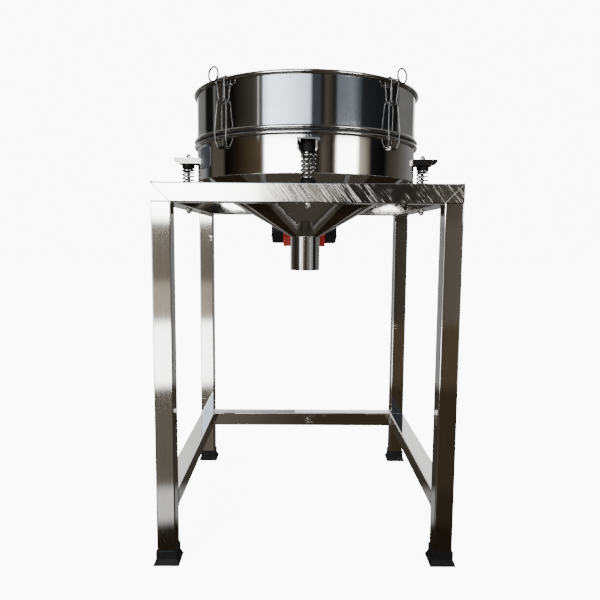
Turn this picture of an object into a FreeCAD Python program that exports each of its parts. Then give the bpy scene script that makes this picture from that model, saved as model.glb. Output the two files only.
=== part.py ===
import FreeCAD, Part
import math
import os
import re
import Sketcher

# A round vibrating sieve. A drum with a wire screen hangs over a hopper cone and an outlet tube,
# and rides on four coil springs at the middle of the sides of a tall square-tube table.
# A vibration motor under the cone shakes the drum, and four wire latches hold the upper ring down.
# Millimetres, +Z up, origin on the floor under the drum's centre, front at -Y.

SIZES = {
    "frame_width": 600, "frame_depth": 600, "table_height": 767,
    "tube_side": 38, "tube_wall": 1.5, "tube_round": 2.5, "stretcher_top": 145,
    "boot_height": 28, "boot_wall": 2, "boot_floor": 3, "boot_skirt": 12, "boot_flare": 5.5,
    "spring_gap": 26, "drum_lift": 23, "lower_height": 84.5, "upper_height": 113.5,
    "shell_wall": 1.2, "bead_radius": 4,
    "cone_wall": 1.2, "cone_depth": 124.5,
    "outlet_radius": 35.5, "outlet_wall": 1.5, "outlet_length": 80.5,
    "gasket_thick": 3, "gasket_reach": 6, "gasket_lip": 2.2,
    "screen_ring_width": 25, "screen_ring_lap": 1, "screen_ring_thick": 1,
    "mesh_thick": 0.4, "mesh_margin": 1,
    "stud_radius": 4, "hole_play": 0.5, "running_gap": 0.3,
    "washer_radius": 9, "washer_thick": 1.6, "nut_across": 13, "nut_height": 6.5, "stud_tail": 2.4,
    "cap_nut_hex": 5.5, "cap_nut_height": 11, "stud_grip": 2,
    "seat_radius": 15, "seat_height": 6, "seat_boss": 10.5, "seat_boss_height": 12,
    "cushion_radius": 15, "cushion_height": 20, "cushion_boss_height": 7,
    "wire_radius": 1.5, "coil_radius": 12.8, "coil_turns": 5,
    "bracket_width": 43, "bracket_height": 13.4, "bracket_lift": 59.5, "bracket_thick": 3,
    "bracket_overhang": 31, "bracket_chamfer": 7,
    "motor_inset": 44, "housing_radius": 44, "housing_bore": 38.5, "housing_length": 98,
    "foot_gap": 4, "foot_edge": 0.6, "foot_length": 114, "foot_thick": 9,
    "web_place": 34, "web_thick": 8,
    "mount_gap": 1.8, "mount_thick": 6, "gusset_thick": 5, "gusset_spread": 92,
    "gusset_inset": 12, "gusset_drop": 8,
    "shield_thick": 8, "cover_radius": 42, "cover_length": 32, "cover_wall": 2.5, "cover_round": 6,
    "box_length": 114, "box_width": 76, "box_gap": 2, "lid_thick": 4,
    "bearing_outer": 16, "bearing_width": 9, "shaft_radius": 8, "shaft_play": 0.05,
    "shaft_length": 168, "core_radius": 26, "core_length": 64, "air_gap": 0.6,
    "weight_radius": 32, "weight_thick": 16, "weight_hub": 14, "weight_place": 72,
    "foot_bolt_radius": 4, "foot_bolt_x": 46, "bolt_gap": 1.3, "bolt_head_radius": 6.4, "bolt_head": 4.5,
    "gland_radius": 9, "gland_nut": 6, "gland_length": 15, "gland_body": 7.2, "gland_mouth": 5,
    "gland_dome": 3, "gland_edge": 1,
    "latch_angle": 42.8, "latch_wire": 1.25, "wire_bend": 2.75,
    "lug_drop": 26.5, "lug_depth": 4.5, "lug_width": 16, "lug_nose": 3.2, "pivot_play": 0.1,
    "frame_foot": 13, "frame_bow": 18.5, "bow_taper": 2, "bow_drop": 12.5, "bow_rise": 11.5,
    "bow_gap": 0.9, "frame_head": 14, "knee_drop": 47, "knee_depth": 5.5,
    "eye_play": 0.3, "eye_side": 1, "leg_spread": 12, "hook_gap": 0.35, "hook_over": 16,
    "ring_radius": 12.5, "ring_wire": 1.9, "ring_offset": 17.5, "ring_rise": 1.5, "ring_arm": 7,
}

# Places worked out from the driving sizes, as formula cells of the sheet. The drum fits between
# the spring lines of the table, and each height starts from the piece that carries the next one.
PLACES = {
    "rail_line_x": "frame_width / 2 - tube_side / 2",
    "rail_line_y": "frame_depth / 2 - tube_side / 2",
    "rail_floor": "table_height - tube_side",
    "shell_radius": "min(rail_line_x; rail_line_y) - spring_gap",
    "drum_floor": "table_height + drum_lift",
    "joint_height": "drum_floor + lower_height",
    "rim_height": "joint_height + upper_height",
    "bead_line": "shell_radius - shell_wall + bead_radius",
    "bead_hollow": "bead_radius - shell_wall",
    "lower_bead": "joint_height - gasket_thick / 2 - bead_radius",
    "upper_bead": "joint_height + gasket_thick / 2 + bead_radius",
    "rim_bead": "rim_height - bead_radius",
    "gasket_inner": "shell_radius - gasket_reach",
    "screen_ring_outer": "shell_radius + screen_ring_lap",
    "screen_ring_inner": "screen_ring_outer - screen_ring_width",
    "throat_height": "drum_floor - cone_depth",
    "outlet_end": "throat_height - outlet_length",
    "cone_slope": "cone_depth / (shell_radius - outlet_radius)",
    "cone_rise": "cone_wall * sqrt(1 + cone_slope ^ 2)",
    "bracket_top": "drum_floor + bracket_lift",
    "cushion_top": "bracket_top - bracket_thick",
    "coil_floor": "table_height + seat_height",
    "coil_top": "cushion_top - cushion_height - running_gap",
    "stud_floor": "rail_floor - washer_thick - nut_height - stud_tail",
    "stud_hole": "stud_radius + hole_play",
    "foot_drop": "housing_radius + foot_gap",
    "head_drop": "foot_drop - foot_thick - bolt_head",
    "foot_bolt_y": "sqrt(housing_radius ^ 2 - head_drop ^ 2) + bolt_head_radius + bolt_gap",
    "foot_width": "2 * (foot_bolt_y + bolt_head_radius + foot_edge)",
    "motor_offset": "shell_radius - motor_inset",
    "bolt_near": "motor_offset - foot_bolt_y - foot_bolt_radius",
    "bolt_reach": "sqrt(bolt_near ^ 2 + (foot_bolt_x - foot_bolt_radius) ^ 2)",
    "foot_top": "throat_height + (bolt_reach - outlet_radius) * cone_slope - mount_thick - mount_gap",
    "motor_height": "foot_top - foot_drop",
    "cover_start": "housing_length / 2 + shield_thick",
    "box_floor": "motor_height - housing_radius - box_gap",
    "pivot_radius": "shell_radius + lug_depth",
    "knee_radius": "shell_radius + knee_depth",
    "lug_height": "joint_height - lug_drop",
    "frame_bow_low": "joint_height - bow_drop",
    "frame_bow_high": "joint_height + bow_rise",
    "knee_height": "rim_height - knee_drop",
    "eye_spread": "frame_head - wire_bend - latch_wire - eye_side",
    "ring_centre": "rim_height + ring_rise",
}

doc = FreeCAD.newDocument("VibratingSieve")
sheet = doc.addObject("Spreadsheet::Sheet", "Sizes")
cells = [(name, str(number)) for name, number in SIZES.items()]
cells += [(name, f"={text}") for name, text in PLACES.items()]
for row, (name, content) in enumerate(cells, 1):
    sheet.set(f"A{row}", name)
    sheet.set(f"B{row}", content)
    sheet.setAlias(f"B{row}", name)
doc.recompute()

# A rolled edge turns from the wall's inner face over and down to this angle round its bead.
CURL_END = 240

# Sides and corners of the square table, each with its turn about the vertical axis.
SIDES = {"front": 0, "right": 90, "back": 180, "left": 270}
CORNERS = {"front_right": (1, -1), "back_right": (1, 1), "back_left": (-1, 1), "front_left": (-1, -1)}

sub_parts = []


def formula(text):
    """Write the sheet's names out in full, so that an object can be bound to them."""
    names = SIZES.keys() | PLACES.keys()
    return re.sub(r"[a-z][a-z_]*", lambda word: "Sizes." + word[0] if word[0] in names else word[0], text)


def size(text):
    """The present value of a formula."""
    return float(sheet.evalExpression(formula(text)))


def bind(thing, **formulas):
    """Bind properties of an object to formulas."""
    for name, text in formulas.items():
        thing.setExpression(name, formula(text))
    return thing


def keep(thing, label):
    """Give a finished sub-part its name and list it for export."""
    thing.Label = label
    sub_parts.append(thing)
    return thing


def place(thing, x="0", y="0", z="0", turn=None):
    """Put an object at a place bound to formulas."""
    if turn is not None:
        thing.Placement = FreeCAD.Placement(FreeCAD.Vector(), turn)
    for axis, text in zip("xyz", (x, y, z)):
        if text != "0":
            thing.setExpression(f"Placement.Base.{axis}", formula(text))
    return thing


def about_z(degrees):
    return FreeCAD.Rotation(FreeCAD.Vector(0, 0, 1), degrees)


def turned(shape, degrees):
    """A copy of a shape turned about the drum's axis."""
    copy = shape.copy()
    copy.rotate(FreeCAD.Vector(), FreeCAD.Vector(0, 0, 1), degrees)
    return copy


def body():
    return doc.addObject("PartDesign::Body", "Body")


def blank_sketch(owner, plane, offset=None):
    """An empty sketch on one of the body's own origin planes."""
    sketch = owner.newObject("Sketcher::SketchObject", "Sketch")
    sketch.AttachmentSupport = ([o for o in owner.Origin.OriginFeatures if o.Role == plane][0], [""])
    sketch.MapMode = "FlatFace"
    if offset is not None:
        sketch.setExpression("AttachmentOffset.Base.z", formula(offset))
    return sketch


def pin_corner(sketch, line, end, x, y):
    """Hold a corner of the outline at a place bound to formulas."""
    for kind, axis, text in (("DistanceX", -2, x), ("DistanceY", -1, y)):
        if text == "0":
            sketch.addConstraint(Sketcher.Constraint("PointOnObject", line, end, axis))
            continue
        index = sketch.addConstraint(Sketcher.Constraint(kind, -1, 1, line, end, size(text)))
        sketch.setExpression(f"Constraints[{index}]", formula(text))


def outline(sketch, corners, bows=None):
    """A closed outline through corners given as pairs of formulas.

    bows gives, for the stretch that starts at a corner, the middle point and radius of an arc.
    """
    bows = bows or {}
    points = [FreeCAD.Vector(size(x), size(y), 0) for x, y in corners]
    starts, ends = [], []
    for i, point in enumerate(points):
        following = points[(i + 1) % len(points)]
        if i in bows:
            middle = FreeCAD.Vector(size(bows[i][0]), size(bows[i][1]), 0)
            edge = sketch.addGeometry(Part.Arc(point, middle, following))
            forward = sketch.getPoint(edge, 1).distanceToPoint(point) < 1e-6
            starts.append((edge, 1 if forward else 2))
            ends.append((edge, 2 if forward else 1))
        else:
            edge = sketch.addGeometry(Part.LineSegment(point, following))
            starts.append((edge, 1))
            ends.append((edge, 2))
    for i, (x, y) in enumerate(corners):
        sketch.addConstraint(Sketcher.Constraint("Coincident", *ends[i - 1], *starts[i]))
        pin_corner(sketch, *starts[i], x, y)
    for i, bow in bows.items():
        index = sketch.addConstraint(Sketcher.Constraint("Radius", starts[i][0], size(bow[2])))
        sketch.setExpression(f"Constraints[{index}]", formula(bow[2]))
    return sketch


def rectangle(sketch, x_low, x_high, y_low, y_high):
    return outline(sketch, [(x_low, y_low), (x_high, y_low), (x_high, y_high), (x_low, y_high)])


def circle(sketch, x, y, radius):
    """A circle whose centre and radius are bound to formulas."""
    edge = sketch.addGeometry(Part.Circle(FreeCAD.Vector(size(x), size(y), 0),
                                          FreeCAD.Vector(0, 0, 1), size(radius)))
    pin_corner(sketch, edge, 3, x, y)
    index = sketch.addConstraint(Sketcher.Constraint("Radius", edge, size(radius)))
    sketch.setExpression(f"Constraints[{index}]", formula(radius))
    return sketch


def pad(owner, sketch, length, both_ways=False):
    feature = owner.newObject("PartDesign::Pad", "Pad")
    feature.Profile = sketch
    feature.setExpression("Length", formula(length))
    feature.SideType = "Symmetric" if both_ways else "One side"
    return feature


def pocket_through(owner, sketch):
    """Cut the sketch right through the body, to both sides of its plane."""
    feature = owner.newObject("PartDesign::Pocket", "Pocket")
    feature.Profile = sketch
    feature.Type = "ThroughAll"
    feature.SideType = "Symmetric"
    return feature


def revolve(owner, sketch):
    """Turn a profile drawn on the XZ plane about the vertical axis."""
    feature = owner.newObject("PartDesign::Revolution", "Revolution")
    feature.Profile = sketch
    feature.ReferenceAxis = (sketch, ["V_Axis"])
    feature.Angle = 360
    return feature


def turned_piece(label, corners, bows=None):
    """A body of revolution about the drum's axis."""
    piece = body()
    revolve(piece, outline(blank_sketch(piece, "XZ_Plane"), corners, bows))
    return keep(piece, label)


def group(label, shapes):
    """Several separate solids that share one name, such as a set of fasteners."""
    piece = doc.addObject("Part::Feature", "Group")
    piece.Shape = Part.makeCompound(shapes)
    return keep(piece, label)


def at_spring_mounts(shape_at_axis):
    """Copies of a piece, drawn about a vertical axis, at the middle of each side of the table."""
    copies = []
    for side, degrees in SIDES.items():
        distance = size("rail_line_y" if side in ("front", "back") else "rail_line_x")
        copy = shape_at_axis.copy()
        copy.translate(FreeCAD.Vector(0, -distance, 0))
        copies.append(turned(copy, degrees))
    return copies


# Table -----------------------------------------------------------------------------------------

def square_tube(length):
    """A hollow square tube along Z with rounded outer edges, standing on the XY plane."""
    piece = body()
    half = "tube_side / 2"
    hollow = "(tube_side / 2 - tube_wall)"
    sketch = rectangle(blank_sketch(piece, "XY_Plane"), f"-{half}", half, f"-{half}", half)
    rectangle(sketch, f"-{hollow}", hollow, f"-{hollow}", hollow)
    tube = pad(piece, sketch, length)
    doc.recompute()
    corner = size(half)
    edges = [f"Edge{number}" for number, edge in enumerate(tube.Shape.Edges, 1)
             if all(abs(abs(v.X) - corner) < 0.01 and abs(abs(v.Y) - corner) < 0.01
                    for v in edge.Vertexes) and edge.Length > 2.5 * corner]
    fillet = piece.newObject("PartDesign::Fillet", "Fillet")
    fillet.Base = (tube, edges)
    fillet.setExpression("Radius", formula("tube_round"))
    return piece


def lying(side):
    """The turn that lays a tube along a side, with its own X pointing out of the table."""
    flat = FreeCAD.Rotation(FreeCAD.Vector(0, -1, 0), FreeCAD.Vector(0, 0, 1),
                            FreeCAD.Vector(-1, 0, 0), "ZXY")
    return about_z(SIDES[side]).multiply(flat)


def leg(corner):
    """A leg from the floor of its boot up to the underside of the rails."""
    across, along = CORNERS[corner]
    piece = square_tube("rail_floor - boot_floor")
    place(piece, f"{across} * rail_line_x", f"{along} * rail_line_y", "boot_floor")
    keep(piece, f"leg_{corner}")


def rail(side):
    """A top rail, mitred at both ends and drilled for the spring stud."""
    length = "frame_width" if side in ("front", "back") else "frame_depth"
    reach = "rail_line_y" if side in ("front", "back") else "rail_line_x"
    piece = square_tube(length)
    half = "tube_side / 2"
    mitres = [
        [(half, "0"), (f"-{half}", "0"), (f"-{half}", "tube_side")],
        [(half, length), (f"-{half}", length), (f"-{half}", f"{length} - tube_side")],
    ]
    for corners in mitres:
        pocket_through(piece, outline(blank_sketch(piece, "XZ_Plane"), corners))
    pocket_through(piece, circle(blank_sketch(piece, "XZ_Plane"), "0", f"{length} / 2", "stud_hole"))
    start = {
        "front": (f"{length} / 2", f"-{reach}"), "right": (reach, f"{length} / 2"),
        "back": (f"-{length} / 2", reach), "left": (f"-{reach}", f"-{length} / 2"),
    }[side]
    place(piece, *start, f"table_height - {half}", lying(side))
    keep(piece, f"rail_{side}")


def stretcher(side):
    """A low tube that ties two legs, between their facing sides."""
    length = "frame_width - 2 * tube_side" if side == "back" else "frame_depth - 2 * tube_side"
    piece = square_tube(length)
    start = {
        "right": ("rail_line_x", "frame_depth / 2 - tube_side"),
        "back": ("tube_side - frame_width / 2", "rail_line_y"),
        "left": ("-rail_line_x", "tube_side - frame_depth / 2"),
    }[side]
    place(piece, *start, "stretcher_top - tube_side / 2", lying(side))
    keep(piece, f"stretcher_{side}")


def foot_boot(corner):
    """A square rubber boot with a skirt that flares towards the floor."""
    across, along = CORNERS[corner]
    piece = body()
    wide = "(tube_side / 2 + boot_wall)"
    flared = "(tube_side / 2 + boot_wall + boot_flare)"
    bottom = rectangle(blank_sketch(piece, "XY_Plane"), f"-{flared}", flared, f"-{flared}", flared)
    neck = rectangle(blank_sketch(piece, "XY_Plane", "boot_skirt"), f"-{wide}", wide, f"-{wide}", wide)
    skirt = piece.newObject("PartDesign::AdditiveLoft", "Skirt")
    skirt.Profile = bottom
    skirt.Sections = [neck]
    skirt.Ruled = True
    sleeve = rectangle(blank_sketch(piece, "XY_Plane"), f"-{wide}", wide, f"-{wide}", wide)
    pad(piece, sleeve, "boot_height")
    half = "tube_side / 2"
    socket = piece.newObject("PartDesign::Pocket", "Socket")
    mouth = blank_sketch(piece, "XY_Plane", "boot_height")
    socket.Profile = rectangle(mouth, f"-{half}", half, f"-{half}", half)
    socket.setExpression("Length", formula("boot_height - boot_floor"))
    place(piece, f"{across} * rail_line_x", f"{along} * rail_line_y")
    keep(piece, f"foot_boot_{corner}")


# Drum ------------------------------------------------------------------------------------------

def curl(height, way):
    """An edge rolled outwards into a hollow bead: its corners and its two arcs.

    The corners start on the shell's inner face and end on its outer face. way is 1 where the
    bead ends a wall that comes from below, and -1 where it ends one that comes from above.
    """
    def on_bead(radius, degrees):
        return (f"(bead_line + {radius} * cos({degrees}))",
                f"({height} + {way} * {radius} * sin({degrees}))")

    corners = [("(shell_radius - shell_wall)", height), on_bead("bead_radius", CURL_END),
               on_bead("bead_hollow", CURL_END), ("shell_radius", height)]
    middle = (CURL_END - 180) / 2
    outer = (*on_bead("bead_radius", middle), "bead_radius")
    inner = (*on_bead("bead_hollow", middle), "bead_hollow")
    return corners, outer, inner


def lower_shell():
    """The drum's lower wall, rolled outwards at its top edge."""
    corners, outer, inner = curl("lower_bead", 1)
    start = [("shell_radius", "drum_floor"), ("(shell_radius - shell_wall)", "drum_floor")]
    turned_piece("lower_shell", start + corners, {2: outer, 4: inner})


def upper_shell():
    """The upper ring of the drum, rolled outwards at both edges."""
    below, below_outer, below_inner = curl("upper_bead", -1)
    above, above_outer, above_inner = curl("rim_bead", 1)
    # Up the inner face, round the rim's bead, down the outer face and back round the lower bead.
    turned_piece("upper_shell", above + below[::-1],
                 {0: above_outer, 2: above_inner, 4: below_inner, 6: below_outer})


def hopper_cone():
    """The cone that gathers the sifted product, welded under the drum's wall."""
    inner = "(outlet_radius - outlet_wall)"
    turned_piece("hopper_cone", [
        ("outlet_radius", "throat_height"), ("shell_radius", "drum_floor"),
        ("(shell_radius - cone_rise / cone_slope)", "drum_floor"),
        (inner, "(throat_height - outlet_wall * cone_slope + cone_rise)"), (inner, "throat_height"),
    ])


def outlet_tube():
    """The straight outlet below the cone."""
    inner = "(outlet_radius - outlet_wall)"
    turned_piece("outlet_tube", [("outlet_radius", "outlet_end"), ("outlet_radius", "throat_height"),
                                 (inner, "throat_height"), (inner, "outlet_end")])


def screen():
    """The screen: woven wire bonded on a flat ring, whose edge sits in a U-shaped gasket."""
    ring_low = "(joint_height - screen_ring_thick / 2)"
    ring_high = "(joint_height + screen_ring_thick / 2)"
    turned_piece("screen_ring", [("screen_ring_inner", ring_low), ("screen_ring_outer", ring_low),
                                 ("screen_ring_outer", ring_high), ("screen_ring_inner", ring_high)])
    low = "(joint_height - gasket_thick / 2)"
    high = "(joint_height + gasket_thick / 2)"
    rim = "(bead_line + gasket_lip)"
    turned_piece("screen_gasket", [
        ("gasket_inner", low), (rim, low), (rim, high), ("gasket_inner", high),
        ("gasket_inner", ring_high), ("screen_ring_outer", ring_high),
        ("screen_ring_outer", ring_low), ("gasket_inner", ring_low),
    ])
    mesh = doc.addObject("Part::Cylinder", "Mesh")
    bind(mesh, Radius="gasket_inner - mesh_margin", Height="mesh_thick")
    place(mesh, z=ring_high)
    keep(mesh, "screen_mesh")


def spring_bracket(side):
    """A bent channel on the drum's wall that takes the top of one spring mount."""
    piece = body()
    half = "bracket_width / 2"
    inside = "(bracket_width / 2 - bracket_thick)"
    low = "(bracket_top - bracket_height)"
    under = "(bracket_top - bracket_thick)"
    channel = outline(blank_sketch(piece, "YZ_Plane"), [
        (f"-{half}", low), (f"-{inside}", low), (f"-{inside}", under), (inside, under),
        (inside, low), (half, low), (half, "bracket_top"), (f"-{half}", "bracket_top"),
    ])
    line = "rail_line_y" if side in ("front", "back") else "rail_line_x"
    reach = f"({line} + bracket_overhang)"
    pad(piece, channel, reach)
    pocket_through(piece, circle(blank_sketch(piece, "XY_Plane"), "0", "0", "shell_radius"))
    pocket_through(piece, circle(blank_sketch(piece, "XY_Plane"), line, "0", "stud_hole"))
    pocket_through(piece, outline(blank_sketch(piece, "XZ_Plane"), [
        (reach, low), (reach, f"({low} + bracket_chamfer)"), (f"({reach} - bracket_chamfer)", low),
    ]))
    place(piece, turn=about_z(SIDES[side] - 90))
    keep(piece, f"spring_bracket_{side}")


# Spring mounts ---------------------------------------------------------------------------------

def hexagon(height, floor, across="nut_across"):
    """A hexagonal block about the Z axis."""
    prism = doc.addObject("Part::Prism", "Hexagon")
    prism.Polygon = 6
    bind(prism, Circumradius=f"{across} / sqrt(3)", Height=height)
    return place(prism, z=floor)


def rod(radius, height, floor):
    """A plain cylinder about the Z axis."""
    cylinder = doc.addObject("Part::Cylinder", "Rod")
    bind(cylinder, Radius=radius, Height=height)
    return place(cylinder, z=floor)


def cut(base, tool):
    feature = doc.addObject("Part::Cut", "Cut")
    feature.Base = base
    feature.Tool = tool
    return feature


def fuse(*pieces):
    feature = doc.addObject("Part::MultiFuse", "Fuse")
    feature.Shapes = list(pieces)
    return feature


def stud_hardware():
    """The studs with their washers, lower nuts and domed upper nuts, four of each."""
    cap_floor = "(bracket_top + running_gap)"
    stud = rod("stud_radius", f"{cap_floor} + cap_nut_hex + stud_grip - stud_floor", "stud_floor")
    washer = cut(rod("washer_radius", "washer_thick", "rail_floor - washer_thick"),
                 rod("stud_radius", "washer_thick", "rail_floor - washer_thick"))
    nut_floor = "(rail_floor - washer_thick - nut_height)"
    nut = cut(hexagon("nut_height", nut_floor), rod("stud_radius", "nut_height", nut_floor))
    dome = doc.addObject("Part::Sphere", "Dome")
    bind(dome, Radius="cap_nut_height - cap_nut_hex")
    place(dome, z=f"{cap_floor} + cap_nut_hex")
    cap = cut(fuse(hexagon("cap_nut_hex", cap_floor), dome),
              rod("stud_radius", "cap_nut_hex + stud_grip", cap_floor))
    doc.recompute()
    for label, piece in (("spring_studs", stud), ("stud_washers", washer),
                         ("stud_nuts", nut), ("cap_nuts", cap)):
        group(label, at_spring_mounts(piece.Shape))


def rubber_pieces():
    """The black seats under the springs and the cushions between springs and brackets."""
    seat = body()
    revolve(seat, outline(blank_sketch(seat, "XZ_Plane"), [
        ("stud_hole", "table_height"), ("seat_radius", "table_height"), ("seat_radius", "coil_floor"),
        ("seat_boss", "coil_floor"), ("seat_boss", "(table_height + seat_boss_height)"),
        ("stud_hole", "(table_height + seat_boss_height)"),
    ]))
    shoulder = "(cushion_top - cushion_height)"
    tip = f"({shoulder} - cushion_boss_height)"
    cushion = body()
    revolve(cushion, outline(blank_sketch(cushion, "XZ_Plane"), [
        ("stud_hole", tip), ("seat_boss", tip), ("seat_boss", shoulder), ("cushion_radius", shoulder),
        ("cushion_radius", "cushion_top"), ("stud_hole", "cushion_top"),
    ]))
    doc.recompute()
    group("spring_seats", at_spring_mounts(seat.Shape))
    group("spring_cushions", at_spring_mounts(cushion.Shape))


def spring(side):
    """A coil spring that stands on its seat, wound about the stud."""
    helix = doc.addObject("Part::Helix", "Coil")
    bind(helix, Radius="coil_radius", Height="coil_top - coil_floor - 2 * wire_radius",
         Pitch="(coil_top - coil_floor - 2 * wire_radius) / coil_turns")
    section = doc.addObject("Part::Circle", "Wire")
    bind(section, Radius="wire_radius")
    place(section, x="coil_radius", turn=FreeCAD.Rotation(FreeCAD.Vector(1, 0, 0), 90))
    coil = doc.addObject("Part::Sweep", "Spring")
    coil.Sections = [section]
    coil.Spine = (helix, [])
    coil.Solid = True
    coil.Frenet = True
    reach = "rail_line_y" if side in ("front", "back") else "rail_line_x"
    x, y = {"front": ("0", f"-{reach}"), "right": (reach, "0"),
            "back": ("0", reach), "left": (f"-{reach}", "0")}[side]
    place(coil, x, y, "coil_floor + wire_radius")
    keep(coil, f"spring_{side}")


# Vibration motor -------------------------------------------------------------------------------

ALONG_X = FreeCAD.Rotation(FreeCAD.Vector(0, 0, 1), FreeCAD.Vector(1, 0, 0))


def motor_rod(radius, start, end):
    """A cylinder about the motor's axis between two places along it."""
    cylinder = doc.addObject("Part::Cylinder", "Rod")
    bind(cylinder, Radius=radius, Height=f"({end}) - ({start})")
    return place(cylinder, start, "motor_offset", "motor_height", ALONG_X)


def block(x_low, x_high, y_low, y_high, z_low, z_high):
    """A box between six planes."""
    box = doc.addObject("Part::Box", "Block")
    bind(box, Length=f"({x_high}) - ({x_low})", Width=f"({y_high}) - ({y_low})",
         Height=f"({z_high}) - ({z_low})")
    return place(box, x_low, y_low, z_low)


def upright(radius, x, y, floor, top):
    """A vertical cylinder."""
    cylinder = doc.addObject("Part::Cylinder", "Rod")
    bind(cylinder, Radius=radius, Height=f"({top}) - ({floor})")
    return place(cylinder, x, y, floor)


def foot_holes(radius, floor, top):
    """Four upright cylinders at the motor's fixing holes."""
    return [upright(radius, f"{i} * foot_bolt_x", f"motor_offset + {j} * foot_bolt_y", floor, top)
            for i in (-1, 1) for j in (-1, 1)]


def motor_mount():
    """The plate under the cone that the motor hangs from, with two gussets that follow the cone."""
    near, far = "motor_offset - foot_width / 2", "motor_offset + foot_width / 2"
    above = "foot_top + mount_thick"
    plate = block("-foot_length / 2", "foot_length / 2", near, far, "foot_top", above)
    gussets = []
    for i in (-1, 1):
        middle = f"{i} * gusset_spread / 2"
        gussets.append(block(f"{middle} - gusset_thick / 2", f"{middle} + gusset_thick / 2",
                             near, f"{far} - gusset_inset", above, "drum_floor - gusset_drop"))
    cone = doc.addObject("Part::Cone", "ConeOutside")
    bind(cone, Radius1="outlet_radius", Radius2="shell_radius", Height="drum_floor - throat_height")
    place(cone, z="throat_height")
    blank = cut(fuse(plate, *gussets), cone)
    holes = fuse(*foot_holes("foot_bolt_radius + hole_play", "foot_top", "foot_top + mount_thick"))
    keep(cut(blank, holes), "motor_mount")


def motor_housing():
    """The motor's cast body: a bored barrel, a foot on top and a terminal box below."""
    half = "housing_length / 2"
    barrel = motor_rod("housing_radius", f"-{half}", half)
    near, far = "motor_offset - foot_width / 2", "motor_offset + foot_width / 2"
    foot = block("-foot_length / 2", "foot_length / 2", near, far, "foot_top - foot_thick", "foot_top")
    webs = []
    for i in (-1, 1):
        middle = f"{i} * web_place"
        webs.append(block(f"{middle} - web_thick / 2", f"{middle} + web_thick / 2",
                          near, far, "motor_height", "foot_top - foot_thick"))
    box = block("-box_length / 2", "box_length / 2", "motor_offset - box_width / 2",
                "motor_offset + box_width / 2", "box_floor", "motor_height")
    bore = motor_rod("housing_bore", "-foot_length / 2", "foot_length / 2")
    room = [motor_rod("housing_radius + hole_play", i, j)
            for i, j in (("-cover_start - cover_length", f"-{half}"), (half, "cover_start + cover_length"))]
    holes = foot_holes("foot_bolt_radius + hole_play", "foot_top - foot_thick", "foot_top")
    keep(cut(fuse(barrel, foot, *webs, box), fuse(bore, *room, *holes)), "motor_housing")


def motor_shell_pieces():
    """The bearing shields, the end covers, the lid of the terminal box, its gland and the bolts."""
    half = "housing_length / 2"
    shields = []
    for sign in (-1, 1):
        start, end = sorted((f"{sign} * {half}", f"{sign} * cover_start"), key=size)
        disc = motor_rod("housing_radius", start, end)
        shields.append(cut(disc, motor_rod("bearing_outer", start, end)))
    races = []
    for sign in (-1, 1):
        start, end = sorted((f"{sign} * (cover_start - bearing_width)", f"{sign} * cover_start"),
                            key=size)
        races.append(cut(motor_rod("bearing_outer", start, end),
                         motor_rod("shaft_radius + shaft_play", start, end)))
    stator = cut(motor_rod("housing_bore", "-core_length / 2", "core_length / 2"),
                 motor_rod("core_radius + air_gap", "-core_length / 2", "core_length / 2"))
    keep(stator, "motor_stator")
    doc.recompute()
    group("bearing_shields", [shield.Shape for shield in shields])
    group("motor_bearings", [race.Shape for race in races])
    bolt = []
    for i in (-1, 1):
        for j in (-1, 1):
            x, y = f"{i} * foot_bolt_x", f"motor_offset + {j} * foot_bolt_y"
            shank = upright("foot_bolt_radius", x, y, "foot_top - foot_thick", "foot_top + mount_thick")
            head = upright("bolt_head_radius", x, y, "foot_top - foot_thick - bolt_head",
                           "foot_top - foot_thick")
            bolt.append(fuse(shank, head))
    doc.recompute()
    group("motor_bolts", [piece.Shape for piece in bolt])
    lid = block("-box_length / 2", "box_length / 2", "motor_offset - box_width / 2",
                "motor_offset + box_width / 2", "box_floor - lid_thick", "box_floor")
    keep(lid, "terminal_lid")
    cable_gland()


def cable_gland():
    """The cable's entry into the terminal box: a hexagon and a domed compression nut."""
    piece = body()
    revolve(piece, outline(blank_sketch(piece, "XZ_Plane"), [
        ("0", "0"), ("gland_radius", "0"), ("gland_radius", "gland_nut"), ("gland_body", "gland_nut"),
        ("gland_body", "(gland_length - gland_dome)"), ("gland_mouth", "gland_length"),
        ("0", "gland_length"),
    ]))
    place(piece, "box_length / 4", "motor_offset + box_width / 2", "box_floor + gland_radius + gland_edge",
          FreeCAD.Rotation(FreeCAD.Vector(1, 0, 0), -90))
    keep(piece, "cable_gland")


def motor_cover(side):
    """A cup over the eccentric weight, rounded at its closed end."""
    piece = body()
    outer_end = "cover_length"
    inner = "(cover_radius - cover_wall)"
    revolve(piece, outline(blank_sketch(piece, "XZ_Plane"), [
        (inner, "0"), ("cover_radius", "0"), ("cover_radius", "(cover_length - cover_round)"),
        ("(cover_radius - cover_round)", outer_end), ("0", outer_end),
        ("0", "(cover_length - cover_wall)"),
        ("(cover_radius - cover_round)", "(cover_length - cover_wall)"),
        (inner, "(cover_length - cover_round)"),
    ], {
        2: ("(cover_radius - cover_round + cover_round * cos(45))",
            "(cover_length - cover_round + cover_round * sin(45))", "cover_round"),
        6: ("(cover_radius - cover_round + (cover_round - cover_wall) * cos(45))",
            "(cover_length - cover_round + (cover_round - cover_wall) * sin(45))",
            "(cover_round - cover_wall)"),
    }))
    sign = 1 if side == "right" else -1
    turn = FreeCAD.Rotation(FreeCAD.Vector(0, 1, 0), 90 * sign)
    place(piece, f"{sign} * cover_start", "motor_offset", "motor_height", turn)
    keep(piece, f"motor_cover_{side}")


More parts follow.
